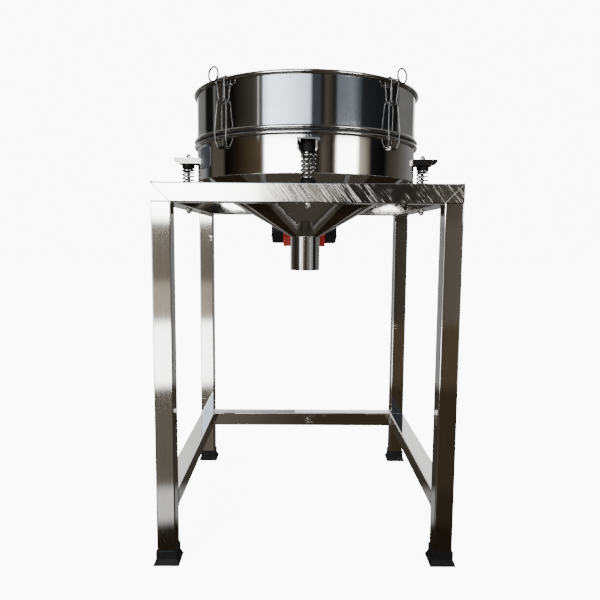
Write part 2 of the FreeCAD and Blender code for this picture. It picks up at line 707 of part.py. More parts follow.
def rotor():
    """The shaft with its core and the two eccentric weights that make the shake."""
    shaft = motor_rod("shaft_radius", "-shaft_length / 2", "shaft_length / 2")
    keep(shaft, "rotor_shaft")
    core = cut(motor_rod("core_radius", "-core_length / 2", "core_length / 2"),
               motor_rod("shaft_radius", "-core_length / 2", "core_length / 2"))
    keep(core, "rotor_core")
    for side, sign in (("left", -1), ("right", 1)):
        start = f"{sign} * weight_place - weight_thick / 2"
        end = f"{sign} * weight_place + weight_thick / 2"
        disc = motor_rod("weight_radius", start, end)
        upper = block(start, end, "motor_offset - weight_radius", "motor_offset + weight_radius",
                      "motor_height", "motor_height + weight_radius")
        weight = fuse(cut(disc, upper), motor_rod("weight_hub", start, end))
        keep(cut(weight, motor_rod("shaft_radius", start, end)), f"eccentric_weight_{side}")


# Wire latches ----------------------------------------------------------------------------------
# Each latch is drawn with its outward direction along X, its width along Y and Z up.

def rounded_wire(points, bend, closed=False):
    """Straight runs joined by tangent arcs of one bend radius, as wire is bent over a pin."""
    count = len(points)
    edges, first, last = [], None, None
    for i, corner in enumerate(points):
        if not closed and i in (0, count - 1):
            entry = leave = corner
        else:
            before = (points[i - 1] - corner).normalize()
            after = (points[(i + 1) % count] - corner).normalize()
            half = math.radians(180) / 2 - before.getAngle(after) / 2
            reach = bend * math.tan(half)
            entry, leave = corner + before * reach, corner + after * reach
            middle = (before + after).normalize()
            centre = corner + middle * (bend / math.cos(half))
            crown = centre - middle * bend
        if last is not None:
            edges.append(Part.LineSegment(last, entry).toShape())
        if entry.distanceToPoint(leave) > 1e-6:
            edges.append(Part.Arc(entry, crown, leave).toShape())
        first = first or entry
        last = leave
    if closed:
        edges.append(Part.LineSegment(last, first).toShape())
    return Part.Wire(edges)


def wire_solid(path, radius):
    """A round wire of one thickness along a path."""
    edge = path.OrderedEdges[0]
    start = edge.valueAt(edge.FirstParameter)
    section = Part.Wire([Part.makeCircle(radius, start, edge.tangentAt(edge.FirstParameter))])
    return path.makePipeShell([section], True, False)


def latch_lug(turn):
    """A small welded loop on the lower shell that the latch frame turns in."""
    pivot = FreeCAD.Vector(size("pivot_radius"), 0, size("lug_height"))
    half, nose = size("lug_width / 2"), size("lug_nose")
    across = FreeCAD.Vector(0, 1, 0)
    round_end = Part.makeCylinder(nose, 2 * half, pivot - across * half, across)
    depth = size("lug_depth") + nose
    root = Part.makeBox(depth, 2 * half, 2 * nose, pivot + FreeCAD.Vector(-depth, -half, -nose))
    hole = Part.makeCylinder(size("latch_wire + pivot_play"), 2 * half, pivot - across * half, across)
    drum = Part.makeCylinder(size("shell_radius"), 4 * nose, pivot + FreeCAD.Vector(-pivot.x, 0, -2 * nose))
    return turned(round_end.fuse(root).cut(hole).cut(drum).removeSplitter(), turn)


def latch_frame():
    """The bowed lower loop of the latch, from the lug up to the knee."""
    pivot, bowed = size("pivot_radius"), size("bead_line + bead_radius + latch_wire + bow_gap")
    low, knee = size("lug_height"), size("knee_height")
    foot, bow, head = size("frame_foot"), size("frame_bow"), size("frame_head")
    right = [
        FreeCAD.Vector(pivot, foot, low),
        FreeCAD.Vector(bowed, bow - size("bow_taper"), size("frame_bow_low")),
        FreeCAD.Vector(bowed, bow, size("frame_bow_high")),
        FreeCAD.Vector(size("knee_radius"), head, knee),
    ]
    left = [FreeCAD.Vector(p.x, -p.y, p.z) for p in reversed(right)]
    return wire_solid(rounded_wire(right + left, size("wire_bend"), closed=True), size("latch_wire"))


def latch_hook():
    """The upper hook: two legs with eyes round the knee, a bar over the rim, and a finger ring."""
    wire = size("latch_wire")
    knee = FreeCAD.Vector(size("knee_radius"), 0, size("knee_height"))
    bead = FreeCAD.Vector(size("bead_line"), 0, size("rim_bead"))
    wrap = size("bead_radius + latch_wire + hook_gap")
    eye = size("2 * latch_wire + eye_play")
    spread, narrow = size("leg_spread"), size("eye_spread")
    over = math.radians(90 + size("hook_over"))
    shoulder = bead + FreeCAD.Vector(wrap, 0, 0)
    crown = bead + FreeCAD.Vector(wrap * math.cos(over / 2), 0, wrap * math.sin(over / 2))
    tip = bead + FreeCAD.Vector(wrap * math.cos(over), 0, wrap * math.sin(over))
    pieces = []
    for side in (-1, 1):
        aside, eye_aside = FreeCAD.Vector(0, side * spread, 0), FreeCAD.Vector(0, side * narrow, 0)
        foot = knee + FreeCAD.Vector(0, 0, eye) + eye_aside
        rise = Part.LineSegment(foot, shoulder + aside - FreeCAD.Vector(0, 0, wire)).toShape()
        lift = Part.LineSegment(shoulder + aside - FreeCAD.Vector(0, 0, wire), shoulder + aside).toShape()
        arch = Part.Arc(shoulder + aside, crown + aside, tip + aside).toShape()
        pieces.append(wire_solid(Part.Wire([rise]), wire))
        pieces.append(wire_solid(Part.Wire([lift, arch]), wire))
        pieces.append(Part.makeSphere(wire, shoulder + aside - FreeCAD.Vector(0, 0, wire)))
        pieces.append(Part.makeSphere(wire, tip + aside))
        pieces.append(Part.makeTorus(eye, wire, knee + eye_aside, FreeCAD.Vector(0, 1, 0)))
    across = FreeCAD.Vector(0, 1, 0)
    pieces.append(Part.makeCylinder(wire, 2 * spread, tip - across * spread, across))
    centre = FreeCAD.Vector(shoulder.x + size("ring_offset"), 0, size("ring_centre"))
    ring = size("ring_radius + ring_wire")
    pieces.append(Part.makeTorus(ring, size("ring_wire"), centre, FreeCAD.Vector(1, 0, 0)))
    arm = size("ring_arm")
    level = centre.z - math.sqrt(ring ** 2 - arm ** 2)
    for side in (-1, 1):
        near = FreeCAD.Vector(shoulder.x - wire, side * spread, level)
        far = FreeCAD.Vector(centre.x, side * arm, level)
        pieces.append(Part.makeCylinder(wire, (far - near).Length, near, far - near))
    hook = pieces[0].multiFuse(pieces[1:])
    return hook.Solids[0] if len(hook.Solids) == 1 else hook


def latches():
    """Four latches, two towards the front and two towards the back."""
    angle = size("latch_angle")
    turns = {"front_right": angle - 90, "back_right": 90 - angle,
             "back_left": 90 + angle, "front_left": 270 - angle}
    group("latch_lugs", [latch_lug(turn) for turn in turns.values()])
    frame, hook = latch_frame(), latch_hook()
    for corner, turn in turns.items():
        for label, shape in (("latch_frame", frame), ("latch_hook", hook)):
            piece = doc.addObject("Part::Feature", "Latch")
            piece.Shape = shape
            piece.Placement = FreeCAD.Placement(FreeCAD.Vector(), about_z(turn))
            keep(piece, f"{label}_{corner}")


# Assembly --------------------------------------------------------------------------------------

for corner in CORNERS:
    leg(corner)
    foot_boot(corner)
for side in SIDES:
    rail(side)
    spring(side)
    spring_bracket(side)
for side in ("left", "right", "back"):
    stretcher(side)
lower_shell()
upper_shell()
hopper_cone()
outlet_tube()
screen()
stud_hardware()
rubber_pieces()
motor_mount()
motor_housing()
motor_shell_pieces()
motor_cover("left")
motor_cover("right")
rotor()
latches()

doc.recompute()
for thing in doc.Objects:
    if "Invalid" in thing.State or "Error" in thing.State:
        raise RuntimeError(f"{thing.Label} failed to recompute: {thing.State}")
os.makedirs("parts", exist_ok=True)
for piece in sub_parts:
    shape = piece.Shape
    if shape.isNull() or not shape.isValid() or not shape.Solids:
        raise RuntimeError(f"{piece.Label} has no valid solid")
    shape.exportStep(f"parts/{piece.Label}.step")
    print(f"{piece.Label:26s} solids {len(shape.Solids)}  volume {shape.Volume:12.1f} mm3")
print(len(sub_parts), "sub-parts")
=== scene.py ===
# %% [markdown]
# # A vibrating sieve in mirror-polished stainless steel
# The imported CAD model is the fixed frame: it gives every size and place. This script adds the
# finishes, the wound, welded and threaded details that are too fine for the CAD model, the light
# and the camera.

# %% Load the frame
import math

import bmesh
import bpy
from mathutils import Matrix, Vector


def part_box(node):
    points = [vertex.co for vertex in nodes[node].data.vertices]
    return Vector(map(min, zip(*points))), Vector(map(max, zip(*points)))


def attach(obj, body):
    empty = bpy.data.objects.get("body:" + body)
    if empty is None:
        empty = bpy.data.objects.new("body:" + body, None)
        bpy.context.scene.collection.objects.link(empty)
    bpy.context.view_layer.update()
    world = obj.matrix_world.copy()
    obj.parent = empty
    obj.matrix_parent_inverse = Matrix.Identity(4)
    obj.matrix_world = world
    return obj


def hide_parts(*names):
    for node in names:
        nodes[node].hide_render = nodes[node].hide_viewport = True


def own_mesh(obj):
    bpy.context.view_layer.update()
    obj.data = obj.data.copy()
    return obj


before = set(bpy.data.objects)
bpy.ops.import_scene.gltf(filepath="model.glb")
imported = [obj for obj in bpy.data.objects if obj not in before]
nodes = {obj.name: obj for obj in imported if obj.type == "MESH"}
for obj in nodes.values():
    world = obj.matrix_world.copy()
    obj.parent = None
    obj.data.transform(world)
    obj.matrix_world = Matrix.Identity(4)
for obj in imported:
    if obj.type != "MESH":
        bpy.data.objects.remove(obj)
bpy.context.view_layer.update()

# %% [markdown]
# ## Places read from the frame
# Every added piece takes its place from the box of the CAD node that carries it, so nothing here
# repeats a size of the CAD model.

# %% Places
low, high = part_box("hopper_cone")
DRUM_RADIUS = (high.x - low.x) / 2
DRUM_FLOOR, CONE_THROAT = high.z, low.z
low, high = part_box("outlet_tube")
OUTLET_RADIUS = (high.x - low.x) / 2
low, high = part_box("rail_front")
TABLE_TOP, RAIL_FLOOR = high.z, low.z
low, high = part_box("rail_right")
TABLE_SIDE, RAIL_INNER = high.x, low.x
SPRING_LINE = (TABLE_SIDE + RAIL_INNER) / 2
low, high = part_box("stretcher_right")
STRETCHER_END, STRETCHER_FLOOR, STRETCHER_TOP = high.y, low.z, high.z
low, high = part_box("spring_front")
COIL_FLOOR, COIL_TOP = low.z, high.z
COIL_OUTER = (high.x - low.x) / 2
low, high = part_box("spring_bracket_front")
BRACKET_TOP, BRACKET_HALF = high.z, (high.x - low.x) / 2
low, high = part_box("spring_studs")
STUD_RADIUS = high.x - SPRING_LINE
low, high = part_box("stud_nuts")
NUT_FLOOR, NUT_TOP = low.z, high.z
low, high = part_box("cap_nuts")
CAP_FLOOR, CAP_TOP = low.z, high.z
low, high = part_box("motor_cover_right")
COVER_END, COVER_RADIUS, MOTOR_AXIS = high.x, (high.z - low.z) / 2, (low + high) / 2
low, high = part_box("terminal_lid")
LID_FLOOR, LID_LENGTH, LID_WIDTH = low.z, high.x - low.x, high.y - low.y
QUARTERS = {"front": 0, "right": 90, "back": 180, "left": 270}
print("drum radius", round(DRUM_RADIUS, 4), "spring line", round(SPRING_LINE, 4),
      "motor axis", tuple(round(c, 3) for c in MOTOR_AXIS))

# %% [markdown]
# ## Two helpers for node trees
# Colours are written as the sRGB hex values that a colour chart gives, and Blender's sockets want
# linear values. One function adds a node, sets it up and links it, so that each material below
# reads as a short list of its layers.

# %% Colour and node helpers
def linear(hex_colour):
    """An sRGB hex value as a linear RGBA colour."""
    channels = [int(hex_colour[i:i + 2], 16) / 255 for i in (1, 3, 5)]
    return [c / 12.92 if c <= 0.04045 else ((c + 0.055) / 1.055) ** 2.4 for c in channels] + [1.0]


def add(tree, kind, inputs=None, **settings):
    """Add a node to a tree. A value that is a socket is linked, and any other is set."""
    node = tree.nodes.new(kind)
    for name, value in settings.items():
        setattr(node, name, value)
    for name, value in (inputs or {}).items():
        if isinstance(value, bpy.types.NodeSocket):
            tree.links.new(value, node.inputs[name])
        else:
            node.inputs[name].default_value = value
    return node


def ramp(tree, factor, stops):
    """A colour ramp through (place, colour) stops, 32 at most. A colour is a hex value or linear RGBA."""
    node = add(tree, "ShaderNodeValToRGB", {"Fac": factor})
    elements = node.color_ramp.elements
    while len(elements) > 1:
        elements.remove(elements[-1])
    for i, (place, colour) in enumerate(stops):
        element = elements[0] if i == 0 else elements.new(place)
        element.position = place
        element.color = linear(colour) if isinstance(colour, str) else colour
    return node.outputs["Color"]


def calculate(tree, operation, first, second=0.0, third=0.0):
    """The result of a Math node."""
    return add(tree, "ShaderNodeMath", {0: first, 1: second, 2: third}, operation=operation).outputs[0]


def fade(tree, value, start, end, low=0.0, high=1.0):
    """A smooth step of a value between two limits."""
    return add(tree, "ShaderNodeMapRange", {"Value": value, "From Min": start, "From Max": end,
                                            "To Min": low, "To Max": high},
               interpolation_type="SMOOTHSTEP").outputs["Result"]


def mix(tree, factor, first, second):
    """A blend of two colours."""
    return add(tree, "ShaderNodeMix", {0: factor, 6: first, 7: second}, data_type="RGBA").outputs[2]


print("helpers ready")

# %% [markdown]
# ## The camera
# It stands a little under the table's top, 1.4 m in front of the drum, and looks down by six
# degrees, so that the drum is seen from just below and the legs spread towards the viewer.

# %% Camera
CAMERA_PLACE = Vector((-0.0216, -1.4196, 0.6613))
CAMERA_DIP, CAMERA_YAW, CAMERA_ROLL = -0.1056, 0.0073, 0.0072
CAMERA_LENS = 34.82

forward = Vector((math.sin(CAMERA_YAW) * math.cos(CAMERA_DIP),
                  math.cos(CAMERA_YAW) * math.cos(CAMERA_DIP), math.sin(CAMERA_DIP)))
level = forward.cross(Vector((0, 0, 1))).normalized()
upright = level.cross(forward)
sideways = level * math.cos(CAMERA_ROLL) + upright * math.sin(CAMERA_ROLL)
up = upright * math.cos(CAMERA_ROLL) - level * math.sin(CAMERA_ROLL)
camera = bpy.data.objects.new("camera", bpy.data.cameras.new("camera"))
camera.data.lens = CAMERA_LENS
camera.matrix_world = Matrix((
    (sideways.x, up.x, -forward.x, CAMERA_PLACE.x), (sideways.y, up.y, -forward.y, CAMERA_PLACE.y),
    (sideways.z, up.z, -forward.z, CAMERA_PLACE.z), (0, 0, 0, 1)))
bpy.context.scene.collection.objects.link(camera)
bpy.context.scene.camera = camera
print("camera at", tuple(round(c, 3) for c in CAMERA_PLACE))

# %% [markdown]
# ## What the polished steel sees
# A mirror has no colour of its own, so its look is the look of the room. The room here is a world
# shader made of rings that lie on top of each other, from the dark ground near the feet, through a
# bright glare further out, to the low part of the windows, the walls and the ceiling. In each ring
# a band gives an angle from the front, -Y, growing towards +X, then its brightness and its tint. A
# ring is listed with the elevation of its lower edge, in degrees.
# The camera itself sees a plain pale backdrop, and matte surfaces are lit by an even soft light.

# %% The room
ROOM_GAIN = 20.0
COOL, PLAIN, WARM, BROWN = "#e4efff", "#f6f6f6", "#fff1dc", "#ffe0b4"
NEAR_GROUND = [(-180, 0.075, WARM), (180, 0.075, WARM)]
SHADE = [(-180, 0.022, BROWN), (180, 0.022, BROWN)]
KERB = [
    (-180, 0.36, PLAIN), (-150, 0.45, PLAIN), (-120, 0.1, WARM), (-60, 0.04, BROWN), (-22, 0.04, BROWN),
    (-19, 1.2, PLAIN), (-7, 1.2, PLAIN), (-3, 0.04, BROWN), (60, 0.04, BROWN), (125, 0.1, WARM),
    (150, 0.26, PLAIN), (180, 0.36, PLAIN)]
DARK_GROUND = [
    (-180, 0.055, WARM), (-120, 0.06, WARM), (-60, 0.05, BROWN), (-20, 0.2, WARM), (-7, 0.17, WARM),
    (2, 0.06, BROWN), (40, 0.055, BROWN), (180, 0.055, WARM)]
GLARE = [
    (-180, 0.34, PLAIN), (-150, 0.4, PLAIN), (-125, 0.1, WARM), (-60, 0.08, WARM), (-44, 0.6, PLAIN),
    (-34, 9.0, PLAIN), (-8, 9.0, PLAIN), (-3, 0.3, WARM), (2, 0.1, BROWN), (20, 0.11, BROWN),
    (28, 0.7, PLAIN), (50, 0.7, PLAIN), (60, 0.05, BROWN), (130, 0.12, WARM), (150, 0.26, PLAIN),
    (180, 0.34, PLAIN)]
FAR_LEFT = [
    (-180, 0.3, PLAIN), (-150, 0.4, PLAIN), (-126, 0.15, PLAIN), (-100, 0.06, WARM), (-76, 0.02, WARM),
    (-50, 0.1, WARM), (-44, 3.2, PLAIN), (-22, 2.6, PLAIN)]
FAR_RIGHT = [
    (-4, 0.06, WARM), (9, 0.05, WARM), (15, 0.15, WARM), (38, 0.33, PLAIN), (60, 0.4, PLAIN),
    (68, 0.01, PLAIN), (84, 0.005, PLAIN), (96, 0.18, PLAIN), (150, 0.25, PLAIN), (180, 0.3, PLAIN)]
VERGE = FAR_LEFT + [(-16, 0.75, WARM), (-9, 0.7, WARM)] + FAR_RIGHT
FAR_GROUND = FAR_LEFT + [(-16, 0.3, WARM), (-8, 0.24, WARM)] + FAR_RIGHT
LOW_WALLS = [
    (-180, 0.5, PLAIN), (-130, 0.34, PLAIN), (-124, 0.16, COOL), (-118, 0.012, PLAIN), (-110, 0.12, WARM),
    (-94, 0.11, WARM), (-90, 0.004, PLAIN), (-74, 0.02, BROWN), (-46, 0.12, BROWN),
    (-43.6, 0.7, PLAIN), (-40.5, 18.0, PLAIN), (-8, 18.0, PLAIN), (-4, 14.0, PLAIN),
    (-2.8, 0.5, PLAIN), (-0.4, 0.45, WARM),
    (0.4, 0.03, WARM), (1.4, 0.5, WARM), (3.4, 0.4, WARM), (4.2, 0.03, PLAIN), (12, 0.04, WARM),
    (16, 0.14, WARM), (26, 0.02, BROWN), (29, 0.7, WARM), (32, 16.0, PLAIN),
    (50, 16.0, PLAIN), (54, 0.9, WARM), (68, 0.015, PLAIN), (85, 0.005, PLAIN),
    (92, 0.06, WARM), (104, 0.09, WARM), (130, 0.26, PLAIN), (180, 0.5, PLAIN)]
WALLS = [
    (-180, 0.5, PLAIN), (-162, 2.2, PLAIN), (-157, 2.2, PLAIN), (-154, 0.27, PLAIN),
    (-130, 0.24, PLAIN), (-124, 0.008, PLAIN), (-111, 0.016, PLAIN), (-108, 0.24, PLAIN), (-104, 0.07, WARM),
    (-80, 0.006, WARM), (-55, 0.07, WARM), (-50, 0.13, PLAIN), (-49, 1.1, PLAIN), (-48, 0.16, PLAIN),
    (-45, 0.2, PLAIN), (-43.5, 2.4, COOL),
    (-37, 4.6, COOL), (-20, 3.9, COOL), (-8, 2.8, COOL), (2, 2.1, COOL), (5, 0.09, COOL),
    (12, 0.09, COOL), (15, 0.015, PLAIN), (19, 0.1, WARM), (28, 0.02, WARM), (31, 0.25, COOL),
    (46, 0.34, COOL), (57, 0.03, COOL), (104, 0.012, PLAIN), (108, 0.22, PLAIN),
    (148, 0.2, PLAIN), (150, 2.0, PLAIN)]
CEILING = [
    (-180, 0.28, PLAIN), (-160, 0.3, PLAIN), (-110, 0.5, PLAIN), (-70, 0.1, PLAIN), (0, 0.07, PLAIN),
    (70, 0.1, PLAIN), (110, 0.5, PLAIN), (160, 0.3, PLAIN), (180, 0.28, PLAIN)]
RINGS = [(-90, NEAR_GROUND), (-47, SHADE), (-26.4, KERB), (-23.5, DARK_GROUND), (-14.1, GLARE),
         (-8.2, VERGE), (-4.3, FAR_GROUND), (1.8, LOW_WALLS), (9.6, WALLS), (36, CEILING)]
RING_SOFTNESS = 0.6
CEILING_SOFTNESS = 6.0
BACKDROP_LIGHT, SOFT_LIGHT = 10.0, 1.2


def radiance(brightness, tint):
    """A band's linear colour, over the room's gain."""
    return [c * brightness / ROOM_GAIN for c in linear(tint)[:3]] + [1.0]


def around_the_room(tree, turn, bands):
    """The light of one ring, as a ramp over the turn round the room."""
    return ramp(tree, turn, [((degrees + 180) / 360, radiance(brightness, tint))
                             for degrees, brightness, tint in bands])


def build_room():
    """The world shader: rings for the steel, a plain backdrop for the camera, soft light for the rest."""
    world = bpy.data.worlds.new("studio_room")
    bpy.context.scene.world = world
    world.use_nodes = True
    tree = world.node_tree
    tree.nodes.clear()
    direction = add(tree, "ShaderNodeTexCoord").outputs["Generated"]
    parts = add(tree, "ShaderNodeSeparateXYZ", {"Vector": direction}).outputs
    angle = calculate(tree, "ARCTAN2", parts["X"], calculate(tree, "MULTIPLY", parts["Y"], -1.0))
    turn = calculate(tree, "MULTIPLY_ADD", angle, 1 / (2 * math.pi), 0.5)
    height = calculate(tree, "DEGREES", calculate(tree, "ARCSINE", parts["Z"]))
    seen = around_the_room(tree, turn, NEAR_GROUND)
    for floor, bands in RINGS[1:]:
        edge = CEILING_SOFTNESS if bands is CEILING else RING_SOFTNESS
        higher = fade(tree, height, floor - edge, floor + edge)
        seen = mix(tree, higher, seen, around_the_room(tree, turn, bands))
    room = add(tree, "ShaderNodeBackground", {"Color": seen, "Strength": ROOM_GAIN})
    backdrop = add(tree, "ShaderNodeBackground", {"Color": linear("#ffffff"), "Strength": BACKDROP_LIGHT})
    soft = add(tree, "ShaderNodeBackground", {"Color": linear("#fdfcfa"), "Strength": SOFT_LIGHT})
    path = add(tree, "ShaderNodeLightPath").outputs
    lit = add(tree, "ShaderNodeMixShader", {0: path["Is Diffuse Ray"], 1: room.outputs[0],
                                            2: soft.outputs[0]})
    shown = add(tree, "ShaderNodeMixShader", {0: path["Is Camera Ray"], 1: lit.outputs[0],
                                              2: backdrop.outputs[0]})
    add(tree, "ShaderNodeOutputWorld", {"Surface": shown.outputs[0]})


build_room()
print("room:", len(RINGS), "rings,", sum(len(bands) for _, bands in RINGS), "bands")

# %% [markdown]
# ## Floor and studio lights
# A wide pale floor takes a soft shadow, and its own glow brings it to the backdrop's white, so that
# no horizon shows. Polished steel shouldn't mirror it as a white sheet, so it is hidden from
# glossy rays, which then see the room. Three soft boxes shape the matte pieces.

# %% Floor and lights
FLOOR_ALBEDO = 0.95
FLOOR_HALF = 14.0


def build_floor():
    """A glowing matte sheet that only the camera and the shadows see."""
    corners = [(x * FLOOR_HALF, y * FLOOR_HALF, 0) for x, y in ((-1, -1), (1, -1), (1, 1), (-1, 1))]
    mesh = bpy.data.meshes.new("floor")
    mesh.from_pydata(corners, [], [(0, 1, 2, 3)])
    floor = bpy.data.objects.new("floor", mesh)
    bpy.context.scene.collection.objects.link(floor)
    floor.visible_glossy = False
    floor.visible_diffuse = False
    material = bpy.data.materials.new("pale_paper_sweep")
    material.use_nodes = True
    shader = material.node_tree.nodes["Principled BSDF"]
    shader.inputs["Base Color"].default_value = linear("#f9f9f9")
    shader.inputs["Roughness"].default_value = 0.9
    shader.inputs["Specular IOR Level"].default_value = 0.0
    shader.inputs["Emission Color"].default_value = linear("#ffffff")
    shader.inputs["Emission Strength"].default_value = BACKDROP_LIGHT - FLOOR_ALBEDO * SOFT_LIGHT
    mesh.materials.append(material)


def soft_box(name, place, aim, width, power):
    """A square area light that polished steel doesn't mirror."""
    light = bpy.data.lights.new(name, "AREA")
    light.shape = "SQUARE"
    light.size = width
    light.energy = power
    lamp = bpy.data.objects.new(name, light)
    lamp.location = place
    lamp.rotation_euler = (Vector(aim) - Vector(place)).to_track_quat("-Z", "Y").to_euler()
    lamp.visible_glossy = False
    bpy.context.scene.collection.objects.link(lamp)


build_floor()
AIM = (0, 0, 0.6)
soft_box("key_soft_box", (-1.8, -2.2, 2.6), AIM, 1.6, 60)
soft_box("fill_soft_box", (2.2, -1.6, 1.8), AIM, 1.8, 20)
soft_box("top_soft_box", (0.2, 0.6, 3.2), AIM, 2.2, 45)
print("floor and three soft boxes")

# %% [markdown]
# ## Materials
# Every pattern is procedural, in Object coordinates and at its real spacing in millimetres, so
# that it keeps its size on any piece. Metals keep the default index of refraction.

# %% Material helpers
MILLIMETRES = 1000.0


def new_material(name, **constants):
    """A material with one Principled shader, and its Object coordinates."""
    material = bpy.data.materials.new(name)
    material.use_nodes = True
    tree = material.node_tree
    tree.nodes.clear()
    shader = add(tree, "ShaderNodeBsdfPrincipled")
    for socket, value in constants.items():
        shader.inputs[socket.replace("_", " ")].default_value = value
    add(tree, "ShaderNodeOutputMaterial", {"Surface": shader.outputs[0]})
    place = add(tree, "ShaderNodeTexCoord").outputs["Object"]
    return material, tree, shader, place


def stretched(tree, place, scale, turn=(0, 0, 0)):
    """Coordinates turned first and then stretched, for a pattern whose grain runs at an angle."""
    turned = add(tree, "ShaderNodeVectorRotate", {"Vector": place, "Rotation": turn},
                 rotation_type="EULER_XYZ")
    return add(tree, "ShaderNodeMapping", {"Vector": turned.outputs[0], "Scale": scale}).outputs[0]


def noise(tree, place, spacing, detail=2.0, roughness=0.5):
    """Soft noise whose blobs lie so many millimetres apart."""
    return add(tree, "ShaderNodeTexNoise", {"Vector": place, "Scale": MILLIMETRES / spacing, "Detail": detail,
                                            "Roughness": roughness}).outputs["Fac"]


def between(tree, value, low, high):
    """Stretch a value from 0 to 1 over a new range."""
    return add(tree, "ShaderNodeMapRange", {"Value": value, "To Min": low, "To Max": high}).outputs["Result"]


def bump(tree, height, millimetres, strength=1.0, below=None):
    """A bump of a real height, on top of another if one is given."""
    inputs = {"Height": height, "Distance": millimetres / MILLIMETRES, "Strength": strength}
    if below is not None:
        inputs["Normal"] = below
    return add(tree, "ShaderNodeBump", inputs).outputs["Normal"]


print("material helpers ready")

# %% [markdown]
# ### Stainless sheet, tube and wire
# 304 stainless, buffed to a mirror. What makes it read as sheet and not as chrome are the faint
# buffing lines and the slow waviness of thin rolled metal, which bends the reflections. The
# table's tube is bright too, but it has been ground over its welds and scuffed in use.

# %% Stainless materials
def polished_sheet():
    """Mirror-buffed 304 sheet, with upright buffing lines and a slow waviness."""
    material, tree, shader, place = new_material("stainless_304_mirror_buffed", Metallic=1.0)
    lines = noise(tree, stretched(tree, place, (1, 1, 0.02)), 1.2, 3.0, 0.6)
    smears = noise(tree, place, 40, 3.0)
    tree.links.new(ramp(tree, smears, [(0.3, "#cfcecc"), (0.7, "#dcdbd9")]), shader.inputs["Base Color"])
    tree.links.new(between(tree, lines, 0.02, 0.075), shader.inputs["Roughness"])
    slow = bump(tree, noise(tree, stretched(tree, place, (1, 1, 0.35)), 70, 1.0), 0.35, 0.3)
    tree.links.new(bump(tree, lines, 0.004, 0.3, slow), shader.inputs["Normal"])
    return material


def scuffed_tube(name, grain, scuff_turn, scuffed, roughness, ground_patch=None):
    """Bright drawn tube with lines along its length, and crossed scuffs where it was handled. A
    ground patch is a stretch along X where a weld was dressed with a disc and left dull."""
    material, tree, shader, place = new_material(name, Metallic=1.0)
    lines = noise(tree, stretched(tree, place, grain), 0.9, 3.0, 0.6)
    scratches = noise(tree, stretched(tree, place, (1, 1, 0.035), scuff_turn), 2.2, 4.0, 0.7)
    fields = noise(tree, place, 60, 2.0)
    where = calculate(tree, "MULTIPLY", fade(tree, scratches, 0.5, 0.62), fade(tree, fields, *scuffed))
    if ground_patch:
        along = add(tree, "ShaderNodeSeparateXYZ", {"Vector": place}).outputs["X"]
        start, end = ground_patch
        patch = calculate(tree, "MULTIPLY", fade(tree, along, start, start + PATCH_EDGE),
                          fade(tree, along, end, end - PATCH_EDGE))
        where = calculate(tree, "MULTIPLY", where, fade(tree, along, start, end))
        dressed = calculate(tree, "MULTIPLY", patch, fade(tree, scratches, 0.36, 0.6, 0.0, 0.45))
        where = calculate(tree, "MAXIMUM", where, dressed)
    base = ramp(tree, lines, [(0.25, "#c4c3c1"), (0.75, "#d6d5d2")])
    tree.links.new(mix(tree, where, base, linear("#dcd8d0")), shader.inputs["Base Color"])
    rough = calculate(tree, "MULTIPLY_ADD", where, 0.3, between(tree, lines, roughness, roughness + 0.05))
    tree.links.new(rough, shader.inputs["Roughness"])
    tree.links.new(bump(tree, where, 0.03, 0.5, bump(tree, lines, 0.006, 0.35)), shader.inputs["Normal"])
    return material


def drawn_wire(name, colours, roughness):
    """Drawn stainless wire, bright on the spring and painted darker on the latch as shade, with die lines and a
    trace of oil.
    """
    material, tree, shader, place = new_material(name, Metallic=1.0)
    marks = noise(tree, place, 2.2, 3.0)
    tree.links.new(ramp(tree, marks, [(0.3, colours[0]), (0.7, colours[1])]), shader.inputs["Base Color"])
    tree.links.new(between(tree, marks, roughness, roughness + 0.12), shader.inputs["Roughness"])
    tree.links.new(bump(tree, marks, 0.01, 0.3), shader.inputs["Normal"])
    return material


def threaded_steel(spacing):
    """A bright zinc-plated stud with bumped rings so many millimetres apart in place of its thread, with
    painted shade in the roots between the rings.
    """
    material, tree, shader, place = new_material("steel_8_8_zinc_plated_thread", Metallic=1.0)
    groove = add(tree, "ShaderNodeTexWave", {"Vector": place, "Scale": WAVE_PERIOD * MILLIMETRES / spacing,
                                             "Distortion": 0.0},
                 bands_direction="Z", wave_profile="TRI").outputs["Fac"]
    # The roots of the bumped thread are painted darker than the crests: painted shade.
    tree.links.new(ramp(tree, groove, [(0.0, "#6f6e6c"), (0.6, "#cfcdc8")]), shader.inputs["Base Color"])
    tree.links.new(between(tree, groove, 0.34, 0.2), shader.inputs["Roughness"])
    tree.links.new(bump(tree, groove, 0.6, 1.0), shader.inputs["Normal"])
    return material


def plated_steel():
    """Zinc-plated nuts, washers and screws."""
    material, tree, shader, place = new_material("steel_zinc_plated", Metallic=1.0)
    cloud = noise(tree, place, 4, 3.0)
    tree.links.new(ramp(tree, cloud, [(0.3, "#b4b3b0"), (0.7, "#cfceca")]), shader.inputs["Base Color"])
    tree.links.new(between(tree, cloud, 0.16, 0.3), shader.inputs["Roughness"])
    return material


def dulled_sheet(name, colours, grain, roughness):
    """Stainless strip or tag that was sheared, bent and brushed, and never buffed. The strip's darker colours
    are painted shade.
    """
    material, tree, shader, place = new_material(name, Metallic=1.0)
    lines = noise(tree, stretched(tree, place, grain), 0.8, 3.0, 0.6)
    tree.links.new(ramp(tree, lines, [(0.3, colours[0]), (0.7, colours[1])]), shader.inputs["Base Color"])
    tree.links.new(between(tree, lines, roughness, roughness + 0.1), shader.inputs["Roughness"])
    tree.links.new(bump(tree, lines, 0.01, 0.3), shader.inputs["Normal"])
    return material


